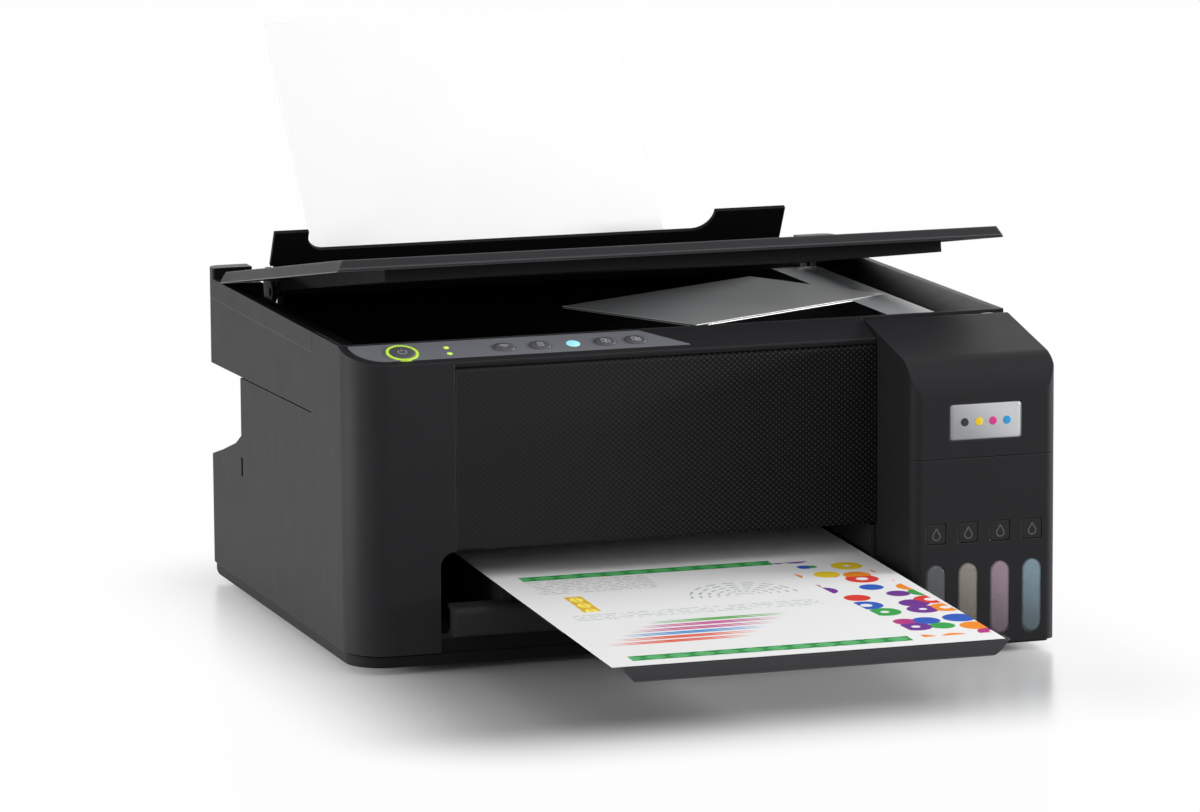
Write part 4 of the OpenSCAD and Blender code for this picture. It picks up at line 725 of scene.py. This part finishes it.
# The paler edges of these finishes are partly painted highlights, strongest on the cover's edges and the
# bed's rim
SHELL = Moulded("shell_black", "#242426", 0.44, 0.5, 0.06, 0.7, 0.7, gloss=0.08, pale_edge_lift=0.03)
DARK = Moulded("deep_black", "#151516", 0.42, 0.5, 0.05, 0.5, 0.4, gloss=0.08)
BED = Moulded("bed_black", "#0a0a0b", 0.45, 0.5, 0.05, 0.8, 0.9, gloss=0.06, pale_edge_lift=0.03)
SATIN = Moulded("cover_black", "#333335", 0.4, 0.8, 0.02, 1.3, 1.0, gloss=0.04, pale_edge_lift=0.09)
RIM = ScannerRim("rim_black", "#242426", 0.44, 0.5, 0.06, 0.8, 0.8, gloss=0.08, pale_edge_lift=0.03)
FRAME = Moulded("frame_grey", "#29292a", 0.46, 0.5, 0.05, 0.4, 0.3, gloss=0.1)
TRAY = Moulded("tray_grey", "#37373a", 0.45, 0.5, 0.05, 0.5, 0.35, gloss=0.2)
PANEL = Moulded("panel_grey", "#6d6f75", 0.42, 0.45, 0.04, 0.3, 0.3, gloss=0.2)
KEY = Moulded("key_grey", "#56565a", 0.38, 0.5, 0.02, 0.8, 0.4)
BORDER = Moulded("border_grey", "#d8dcdf", 0.3, 0.6, 0.01, 0.2, 0.1, 0.04)
RUBBER = Moulded("rubber", "#141415", 0.75, 0.35, 0.08, 0.5, 0.15, gloss=0.15)
WHITE_GEAR = Moulded("gear_white", "#e2e1da", 0.35, 0.6, 0.02, 0.2, 0.2, 0.04)
MARK = Ink("mark_grey", "#b9bcbf")


# ---------------------------------------------------------------- meshes


def write_mesh(name: str, points: np.ndarray, faces: np.ndarray, smooth: bool = True) -> bpy.types.Object:
    """Puts points in millimetres and faces into an object at the origin.

    Args:
        name: name of the piece.
        points: N by 3 array, in millimetres behind the tank unit's front.
        faces: M by 4 or M by 3 array of point numbers.
        smooth: whether the faces are shaded smooth.

    Returns:
        The new object, linked to the scene.
    """
    placed = (points + np.array([0.0, FRONT_Y, 0.0])) * MM
    count, size = faces.shape
    mesh = bpy.data.meshes.new(name)
    mesh.vertices.add(len(placed))
    mesh.vertices.foreach_set("co", placed.astype(np.float32).ravel())
    mesh.loops.add(count * size)
    mesh.loops.foreach_set("vertex_index", faces.astype(np.int32).ravel())
    mesh.polygons.add(count)
    mesh.polygons.foreach_set("loop_start", np.arange(0, count * size, size, dtype=np.int32))
    mesh.polygons.foreach_set("use_smooth", np.full(count, smooth, dtype=bool))
    mesh.update(calc_edges=True)
    mesh.validate()
    piece = bpy.data.objects.new(name, mesh)
    bpy.context.scene.collection.objects.link(piece)
    return piece


def grid_faces(rows: int, columns: int, wrap: bool = False) -> np.ndarray:
    """Quads of a grid of points numbered row by row.

    Args:
        rows: number of rows.
        columns: number of points in a row.
        wrap: whether each row closes on itself.

    Returns:
        The faces as an array of point numbers.
    """
    r, c = np.meshgrid(np.arange(rows - 1), np.arange(columns if wrap else columns - 1), indexing="ij")
    a = (r * columns + c).ravel()
    b = (r * columns + (c + 1) % columns).ravel()
    return np.stack([a, b, b + columns, a + columns], axis=1)


def rounded_outline(width: float, height: float, radius: float, count: int = 48) -> np.ndarray:
    """Points round a rectangle with rounded corners, anticlockwise.

    Each point of a circle of the radius is pushed out by the half sides less the radius, on
    the side of each axis on which it lies.

    Args:
        width: full width.
        height: full height.
        radius: corner radius.
        count: number of points.

    Returns:
        A count by 2 array.
    """
    angle = (np.arange(count) + 0.5) * 2 * np.pi / count
    ring = np.stack([np.cos(angle), np.sin(angle)], axis=1)
    reach = np.array([width / 2 - radius, height / 2 - radius])
    return ring * radius + np.sign(ring) * reach


def pillow(
    name: str, outline: np.ndarray, to_place: Placing, height: float, crown: float,
    rings: int = 10, foot: float = 0.0,
) -> bpy.types.Object:
    """A raised piece with a crowned top over an outline.

    The surface is a function of the outline's angle and of a share s from the rim to the
    middle: the outline shrinks with s, and its height is the plate's height plus the crown
    times 1 less (1 - s) squared; a skirt joins the rim to its foot.

    Args:
        name: name of the piece.
        outline: N by 2 array round the rim.
        to_place: turns local points (across, up, off the surface) into places.
        height: height of the rim.
        crown: extra height of the middle.
        rings: number of rings between rim and middle.
        foot: height of the skirt's foot.

    Returns:
        The new object.
    """
    innermost, lip = 0.985, 0.001
    share = np.linspace(0.0, innermost, rings)
    centre = outline.mean(axis=0)
    flat = centre + (outline - centre)[None, :, :] * (1 - share)[:, None, None]
    lift = height + crown * (1 - (1 - share) ** 2)
    top = np.concatenate([flat, np.broadcast_to(lift[:, None, None], (rings, len(outline), 1))], axis=2)
    skirt = np.concatenate([outline, np.full((len(outline), 1), foot)], axis=1)[None]
    edge = np.concatenate([outline, np.full((len(outline), 1), height - lip)], axis=1)[None]
    points = np.concatenate([skirt, edge, top]).reshape(-1, 3)
    return write_mesh(name, to_place(points), grid_faces(rings + 2, len(outline), wrap=True))


def ribbon(name: str, line: np.ndarray, width: float, to_place: Placing, height: float) -> bpy.types.Object:
    """A flat stroke of even width along a line, raised a little off its ground.

    Each point of the line is moved to both sides along the line's normal by half the width;
    four such rows at the ground and at the height make a closed band.

    Args:
        name: name of the piece.
        line: N by 2 array along the stroke.
        width: width of the stroke.
        to_place: turns local points into places.
        height: height of the stroke.

    Returns:
        The new object.
    """
    run = np.gradient(line, axis=0)
    run /= np.linalg.norm(run, axis=1)[:, None]
    side = np.stack([run[:, 1], -run[:, 0]], axis=1) * width / 2
    ground, top = np.zeros(len(line)), np.full(len(line), height)
    rows = ((line + side, ground), (line + side, top), (line - side, top), (line - side, ground))
    points = np.stack([np.column_stack(row) for row in rows], axis=1).reshape(-1, 3)
    return write_mesh(name, to_place(points), grid_faces(len(line), 4, wrap=True), smooth=False)


def join(name: str, parts: Sequence[bpy.types.Object]) -> bpy.types.Object:
    """Joins meshes at the origin into one piece.

    Args:
        name: name of the joined piece.
        parts: the meshes.

    Returns:
        The joined piece.
    """
    points, faces, start = [], [], 0
    for part in parts:
        mesh = part.data
        co = np.empty(len(mesh.vertices) * 3, dtype=np.float32)
        mesh.vertices.foreach_get("co", co)
        index = np.empty(len(mesh.loops), dtype=np.int32)
        mesh.loops.foreach_get("vertex_index", index)
        points.append(co.reshape(-1, 3) / MM - np.array([0.0, FRONT_Y, 0.0]))
        faces.append(index.reshape(-1, 4) + start)
        start += len(mesh.vertices)
        bpy.data.objects.remove(part)
    return write_mesh(name, np.concatenate(points), np.concatenate(faces), smooth=False)


def place_piece(piece: bpy.types.Object, body: str, finish: Finish) -> bpy.types.Object:
    """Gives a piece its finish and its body.

    Args:
        piece: the piece.
        body: body that it moves with.
        finish: its finish.

    Returns:
        The piece.
    """
    piece.data.materials.clear()
    piece.data.materials.append(finish.material())
    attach(piece, body)
    LOG.info("piece %s on %s: %d faces", piece.name, body, len(piece.data.polygons))
    return piece


# ---------------------------------------------------------------- sub-assemblies


@dataclass
class Housing:
    """Housings, base, front panel and rear cover."""

    def build(self) -> None:
        """Dresses the housings."""
        SHELL.dress("main_housing", "tank_case", "tank_cover", "scanner_base", "rear_cover")
        DARK.dress("base_pan")
        RIM.dress("scanner_frame")
        WovenPanel("front_fascia").dress("front_fascia")
        RUBBER.dress("rubber_feet")
        Metal("screw_steel", "#9a9da1", 0.35, (1, 1, 1)).dress("case_screws")


class Symbol(Enum):
    """Plain symbols on the buttons."""

    POWER = "power"
    WAVES = "waves"
    SHEET = "sheet"
    COPY = "copy"
    COPY_COLOUR = "copy_colour"


def arc(radius: float, start: float, end: float, centre: Pair = (0.0, 0.0)) -> np.ndarray:
    """Points along an arc, from one angle in degrees to another."""
    angle = np.radians(np.linspace(start, end, 25))
    return np.stack([centre[0] + radius * np.cos(angle), centre[1] + radius * np.sin(angle)], axis=1)


def frame_line(width: float, height: float, centre: Pair = (0.0, 0.0)) -> np.ndarray:
    """Points round a rectangle with slightly rounded corners, closed."""
    outline = rounded_outline(width, height, 0.3, 40) + np.array(centre)
    return np.concatenate([outline, outline[:1]])


def strokes(symbol: Symbol) -> list[np.ndarray]:
    """The lines that make a symbol, about 4 mm across."""
    if symbol is Symbol.POWER:
        return [arc(2.3, 125, 415), np.array([[0.0, 0.6], [0.0, 1.8], [0.0, 3.0]])]
    if symbol is Symbol.WAVES:
        return [arc(r, 45, 135, (0.0, -1.8)) for r in (1.2, 2.5, 3.8)]
    if symbol is Symbol.SHEET:
        return [frame_line(2.8, 3.8), *(np.array([[x, up] for x in (-0.7, 0.0, 0.7)]) for up in (0.6, -0.5))]
    pages = [frame_line(2.4, 3.2, (-0.8, 0.5)), frame_line(2.4, 3.2, (0.8, -0.5))]
    if symbol is Symbol.COPY_COLOUR:
        pages.append(arc(0.45, 0, 360, (0.8, -0.5)))
    return pages


@dataclass
class ControlPanel:
    """Sloping panel with its crowned caps, lights and small symbols."""

    foot: Pair = (52.0, 165.0)
    head: Pair = (77.0, 173.0)
    key_h: float = 0.8
    power_x: float = -156.0
    network_x: float = -131.0
    ready_x: float = -62.0
    keys: dict[str, tuple[float, Symbol]] = field(default_factory=lambda: {
        "network": (-100.0, Symbol.WAVES), "info": (-80.0, Symbol.SHEET),
        "copy_black": (-44.0, Symbol.COPY), "copy_colour": (-27.0, Symbol.COPY_COLOUR)})

    def on_slope(self, x: float, up: float = 0.0) -> Placing:
        """Places local points (across, up the slope, off it) about a point of the slope.

        Args:
            x: the point's place across the printer.
            up: its distance from the middle of the slope.

        Returns:
            The placing function.
        """
        run, climb = self.head[0] - self.foot[0], self.head[1] - self.foot[1]
        reach = math.hypot(run, climb)
        c, s = run / reach, climb / reach

        def placed(p: np.ndarray) -> np.ndarray:
            """Local points, put on the slope."""
            along, off = p[:, 1] + reach / 2 + up, p[:, 2]
            back = self.foot[0] + along * c - off * s
            rise = self.foot[1] + along * s + off * c
            return np.stack([x + p[:, 0], back, rise], axis=1)

        return placed

    def sign(
        self, name: str, symbol: Symbol, place: Placing, ground: float, width: float = 0.4
    ) -> bpy.types.Object:
        """Builds a symbol as one piece of raised strokes on a ground height."""

        def lifted(p: np.ndarray) -> np.ndarray:
            """Local points, put over the ground height."""
            return place(p + np.array([0.0, 0.0, ground]))

        lines = enumerate(strokes(symbol))
        return join(name, [ribbon(f"{name}_{i}", line, width, lifted, RELIEF) for i, line in lines])

    def button(
        self, name: str, x: float, symbol: Symbol, size: tuple[float, float, float], crown: float, over: float
    ) -> None:
        """Adds a button's crowned cap and its symbol, which ride on the button.

        Args:
            name: the button's name before _button.
            x: its place across the printer.
            symbol: the symbol on it.
            size: the cap's width, height and corner radius.
            crown: height of the cap's middle over its rim.
            over: height of the symbol's ground over the button's solid.
        """
        place, top = self.on_slope(x), self.key_h
        cap = pillow(name + "_cap", rounded_outline(*size, 64), place, top + 0.02, crown, foot=top - 0.2)
        place_piece(cap, name + "_button", KEY)
        sign = self.sign(name + "_symbol", symbol, place, top + over)
        place_piece(sign, name + "_button", MARK)

    def build(self) -> None:
        """Builds caps, lenses and symbols and dresses the panel."""
        PANEL.dress("control_panel")
        KEY.dress("power_button", *(name + "_button" for name in self.keys))
        Lit("light_guide", "#b5d94a", 0.5).dress("light_guide")
        self.button("power", self.power_x, Symbol.POWER, (13.2, 13.2, 6.58), 0.35, 0.3)
        for name, (x, symbol) in self.keys.items():
            self.button(name, x, symbol, (11.3, 8.3, 4.1), 0.3, 0.27)
        place = self.on_slope(self.ready_x)
        lens = pillow("ready_lens", rounded_outline(7.3, 7.3, 3.6, 48), place, 0.42, 0.3, foot=0.2)
        place_piece(lens, "root", Lit("ready_light", "#8fd3f2", 0.75))
        for level, up, symbol in (("low", -3.5, Symbol.SHEET), ("high", 3.5, Symbol.WAVES)):
            rim, place = rounded_outline(2.9, 2.9, 1.4, 32), self.on_slope(self.network_x, up)
            lens = pillow("network_lens_" + level, rim, place, 0.42, 0.2, foot=0.2)
            place_piece(lens, "root", Lit("network_light", "#b9de4c", 0.8))
            place = self.on_slope(self.network_x - 9.0, up)
            sign = self.sign("network_sign_" + level, symbol, place, 0.01, 0.35)
            place_piece(sign, "root", MARK)


@dataclass
class OutputTray:
    """Output tunnel, tray stages and the printed sheet."""

    def build(self) -> None:
        """Dresses the tray."""
        FRAME.dress("output_bay")
        TRAY.dress("tray_stage_one", "tray_stage_two")
        PrintedPaper("printed_paper").dress("printed_sheet")


@dataclass
class TankUnit:
    """Ink tanks, caps, level windows, marks and the badge plate."""

    first_x: float = 118.95
    pitch: float = 18.2
    window_z: float = 29.85
    mark_z: float = 66.3
    badge_x: float = 147.0
    badge_z: float = 125.7
    spot_at: tuple[float, float, float] = (176.0, 72.6, 171.54)
    top_fall: float = math.atan2(0.195, 0.981)
    dot_pitch: float = 8.0
    dots: tuple[str, ...] = ("#2c2d2f", "#e3c12c", "#c8377f", "#2f8fc8")
    inks: dict[str, tuple[str, str, str]] = field(default_factory=lambda: {
        "black": ("#3c3f42", "#242628", "#26272a"), "yellow": ("#7a7368", "#534d45", "#c9b040"),
        "magenta": ("#84707d", "#594a54", "#a94f7c"), "cyan": ("#687f8a", "#404f57", "#3f86ab")})

    def on_front(self, x: float, z: float, y: float) -> Placing:
        """Places local points (across, up, off the front) on the tank unit's front face."""

        def placed(p: np.ndarray) -> np.ndarray:
            """Local points, put on the front face."""
            return np.stack([x + p[:, 0], y - p[:, 2], z + p[:, 1]], axis=1)

        return placed

    def on_top(self, p: np.ndarray) -> np.ndarray:
        """Places local points (across, rearwards, off the surface) on the tank cover's rear slope."""
        x, y, z = self.spot_at
        c, s = math.cos(self.top_fall), math.sin(self.top_fall)
        return np.stack([x + p[:, 0], y + p[:, 1] * c + p[:, 2] * s, z - p[:, 1] * s + p[:, 2] * c], axis=1)

    def drop(self, size: float) -> np.ndarray:
        """Outline of a drop: a circle whose upper side is drawn out to a point.

        The radius at an angle a from straight up is the size times 1 + 0.9 exp(-3 a a), and the
        width narrows there, so that the tip comes to a point.
        """
        a = np.linspace(-np.pi, np.pi, 61)
        tip = np.exp(-3.0 * a * a)
        line = size * np.stack([np.sin(a) * (1 - 0.45 * tip), np.cos(a) * (1 + 0.9 * tip) - 0.3], axis=1)
        return line[::-1]

    def build(self) -> None:
        """Builds the lenses, marks and the badge plate and dresses the tanks."""
        gloss = Moulded("mark_black", "#0b0b0c", 0.3, 0.6, 0.01, 0.3, 0.3, gloss=0.3)
        faint = Ink("drop_grey", "#5b5d60")
        for i, (name, (ink, shade, cap)) in enumerate(self.inks.items()):
            Moulded("cap_" + name, cap, 0.4, 0.5, 0.03, 0.5).dress(name + "_cap")
            finish = InkTank("ink_" + name, ink, shade)
            finish.dress(name + "_tank")
            x = self.first_x + i * self.pitch
            place = self.on_front(x, self.window_z, 0.4)
            lens = pillow(name + "_lens", rounded_outline(10.2, 39.5, 5.05, 72), place, 0.02, 0.28)
            place_piece(lens, "root", finish)
            place = self.on_front(x, self.mark_z, 0.5)
            plate = pillow(name + "_mark", rounded_outline(11.2, 11.2, 1.4, 40), place, 0.2, 0.12)
            place_piece(plate, "root", gloss)
            place = self.on_front(x, self.mark_z - 0.5, 0.14)
            sign = ribbon(name + "_drop", self.drop(2.1), 0.5, place, RELIEF)
            place_piece(sign, "root", faint)
        Metal("pin_steel", "#3a3b3d", 0.45).dress("tank_cover_pins", "hinge_pins")
        spot = pillow("cover_spot", rounded_outline(7.0, 3.4, 1.65, 40), self.on_top, 0.1, 0.25, foot=-0.1)
        place_piece(spot, "tank_cover", Ink("spot_grey", "#a4a6a9", 0.35))
        place = self.on_front(self.badge_x, self.badge_z, 0.6)
        badge = pillow("badge_plate", rounded_outline(40.8, 19.3, 1.5, 64), place, 0.25, 0.12)
        place_piece(badge, "tank_cover", SatinPlate("badge_silver"))
        for i, code in enumerate(self.dots):
            place = self.on_front(self.badge_x + (i - 1.5) * self.dot_pitch, self.badge_z, 0.26)
            dot = pillow(f"badge_dot_{i}", rounded_outline(4.4, 4.4, 2.18, 40), place, 0.1, 0.1)
            finish = Moulded(f"dot_{i}", code, 0.35, 0.6, 0.01, 0.3, 0.1)
            place_piece(dot, "tank_cover", finish)


@dataclass
class Feeder:
    """Rear sheet feeder with its guard, guide, support and the loaded sheet."""

    def build(self) -> None:
        """Dresses the feeder."""
        SHELL.dress("feed_hopper", "paper_support")
        DARK.dress("edge_guide")
        BED.dress("feeder_guard")
        Paper("blank_paper").dress("loaded_sheet")


@dataclass
class Scanner:
    """Scanner bed, glass, scan bar, print on the glass and document cover."""

    def build(self) -> None:
        """Dresses the scanner."""
        Glass("bed_glass").dress("scanner_glass")
        BORDER.dress("glass_border")
        DARK.dress("scan_bar")
        Metal("rod_steel", "#c8ccd0", 0.14).dress("scan_rod", "carriage_rod")
        GlossPrint("gloss_print").dress("photo_print")
        SATIN.dress("cover_shell")
        Foam("foam").dress("cover_mat")


@dataclass
class Engine:
    """Print engine inside the housings."""

    def build(self) -> None:
        """Dresses the engine."""
        FRAME.dress("engine_frame", "capping_station")
        Metal("zinc_sheet", "#a4a8ad", 0.38).dress("rail_frame", "drive_motors")
        DARK.dress("print_carriage", "power_supply")
        RUBBER.dress("ink_tubes", "drive_belt", "exit_roller", "pickup_roller")
        WHITE_GEAR.dress("motor_pulley", "idler_pulley", "idler_gear")
        Metal("roller_steel", "#b9bcc0", 0.24).dress("feed_roller", "motor_pinion")
        Board("board").dress("circuit_boards")


# ---------------------------------------------------------------- studio


def placing(right: np.ndarray, up: np.ndarray, back: np.ndarray, at: Sequence[float]) -> Matrix:
    """The matrix of an object that faces away from a direction, from its axes and its place."""
    return Matrix([*np.column_stack([right, up, back, at]).tolist(), [0.0, 0.0, 0.0, 1.0]])


@dataclass
class Studio:
    """Camera, lamps, floor and the light of the surroundings."""

    camera_at: tuple[float, float, float] = (-1.06351, -3.18803, 0.68154)
    yaw: float = 18.13
    pitch: float = 9.5
    roll: float = -0.38
    lens: float = 187.478
    fill: float = 0.48

    def camera(self) -> None:
        """Sets the camera from its yaw, its pitch and its roll.

        The view direction is the yaw's heading tipped down by the pitch; the right and up
        directions are square to it and turned about it by the roll.
        """
        a, b, r = (math.radians(v) for v in (self.yaw, self.pitch, self.roll))
        ahead = np.array([math.sin(a) * math.cos(b), math.cos(a) * math.cos(b), -math.sin(b)])
        right = np.array([math.cos(a), -math.sin(a), 0.0])
        up = np.cross(right, ahead)
        side, top = math.cos(r) * right + math.sin(r) * up, math.cos(r) * up - math.sin(r) * right
        lens = bpy.data.cameras.new("camera")
        lens.sensor_width = 36.0
        lens.lens = self.lens
        lens.clip_start, lens.clip_end = 0.1, 60.0
        eye = bpy.data.objects.new("camera", lens)
        eye.matrix_world = placing(side, top, -ahead, self.camera_at)
        bpy.context.scene.collection.objects.link(eye)
        bpy.context.scene.camera = eye

    def lamp(self, name: str, at: Sequence[float], aim: Sequence[float], size: Pair, power: float) -> None:
        """Adds a rectangular lamp that faces a point and doesn't hang straight above or below it.

        Args:
            name: name of the lamp.
            at: its place.
            aim: the point that it faces.
            size: its width and height.
            power: its power in watts.
        """
        light = bpy.data.lights.new(name, "AREA")
        light.shape = "RECTANGLE"
        light.size, light.size_y = size
        light.energy = power
        back = np.array(at, dtype=float) - np.array(aim, dtype=float)
        back /= np.linalg.norm(back)
        right = np.cross([0.0, 0.0, 1.0], back)
        right /= np.linalg.norm(right)
        up = np.cross(back, right)
        lamp = bpy.data.objects.new(name, light)
        lamp.matrix_world = placing(right, up, back, at)
        bpy.context.scene.collection.objects.link(lamp)

    def world(self) -> None:
        """Sets the surroundings: white to the camera and in gloss, softer as light."""
        world = bpy.data.worlds.new("surroundings")
        world.use_nodes = True
        tree = world.node_tree
        back = tree.nodes["Background"]
        path = tree.nodes.new("ShaderNodeLightPath")
        seen = path.outputs["Is Camera Ray"]
        for ray in ("Is Glossy Ray", "Is Transmission Ray"):
            either = tree.nodes.new("ShaderNodeMath")
            either.operation = "MAXIMUM"
            tree.links.new(seen, either.inputs[0])
            tree.links.new(path.outputs[ray], either.inputs[1])
            seen = either.outputs[0]
        level = tree.nodes.new("ShaderNodeMapRange")
        tree.links.new(seen, level.inputs["Value"])
        level.inputs["To Min"].default_value = self.fill
        level.inputs["To Max"].default_value = 1.0
        tree.links.new(level.outputs[0], back.inputs["Strength"])
        back.inputs["Color"].default_value = (1, 1, 1, 1)
        bpy.context.scene.world = world

    def floor(self) -> None:
        """Lays a pale, slightly glossy floor that turns plain white away from the object; its grey near the
        object is darker than the white beyond, a painted shade round the object.
        """
        count, reach = 96, np.array([0.0, 0.35, 0.7, 1.2, 2.0, 9.0]) / MM
        angle = np.arange(count) * 2 * np.pi / count
        ring = np.stack([np.cos(angle), np.sin(angle), np.zeros(count)], axis=1)
        points = (ring[None] * reach[:, None, None] + np.array([0, -FRONT_Y, -0.05])).reshape(-1, 3)
        disc = write_mesh("floor", points, grid_faces(len(reach), count, wrap=True))
        g = Graph("studio_floor")
        x, y, _ = g.axes()
        side = g.math("MAXIMUM", g.minus(g.math("ABSOLUTE", x), 0.14), 0.0)
        ends = g.math("MAXIMUM", g.minus(g.math("ABSOLUTE", g.plus(y, 0.03)), 0.2), 0.0)
        far = g.length(side, ends)
        cloud = g.noise(400, 2.0, 0.5)
        # Painted shade: the grey near the object is darker than the white beyond it and deepens the lamps'
        # shadow there
        g.set(Base_Color=g.mix(cloud, srgb("#c8c8c9"), srgb("#d0d0d0")), IOR=1.45)
        g.set(Roughness=g.ramp(cloud, 0.3, 0.7, 0.2, 0.24))
        white = g.add("Emission")
        white.inputs["Strength"].default_value = 1.0
        path = g.add("LightPath")
        blend = g.add("MixShader")
        rays = g.math("MAXIMUM", path.outputs["Is Camera Ray"], path.outputs["Is Glossy Ray"])
        g.feed(blend.inputs[0], g.times(g.ramp(far, 0.0, 0.12, 0.0, 0.97), rays))
        g.links.new(g.shader.outputs[0], blend.inputs[1])
        g.links.new(white.outputs[0], blend.inputs[2])
        g.links.new(blend.outputs[0], g.output.inputs["Surface"])
        disc.data.materials.append(g.material)

    def build(self) -> None:
        """Builds the studio."""
        bpy.context.scene.view_settings.view_transform = "Standard"
        self.camera()
        self.world()
        self.floor()
        self.lamp("left_softbox", (-2.28, -1.25, 0.5), (-0.15, -0.1, 0.1), (0.75, 0.9), 15)
        self.lamp("corner_strip", (-0.72, 0.06, 0.04), (-0.19, -0.08, 0.09), (0.5, 0.06), 2.2)
        self.lamp("top_softbox", (0.8, -1.0, 2.1), (0, 0, 0.1), (1.6, 1.6), 10)
        self.lamp("back_softbox", (0.6, 3.0, 1.3), (0, 0, 0.15), (1.8, 1.0), 14)
        self.lamp("front_softbox", (0.4, -3.2, 0.9), (0, 0, 0.15), (1.6, 0.6), 4)
        self.lamp("right_softbox", (2.4, -0.4, 0.56), (0.05, 0, 0.17), (1.2, 0.26), 105)


def main() -> None:
    """Builds the studio and every sub-assembly in order."""
    logging.basicConfig(level=logging.INFO, format="%(name)s: %(message)s")
    parts = (Studio(), Housing(), ControlPanel(), OutputTray(), TankUnit(), Feeder(), Scanner(), Engine())
    for part in parts:
        part.build()
        LOG.info("built %s", type(part).__name__)


if __name__ == "__main__":
    main()
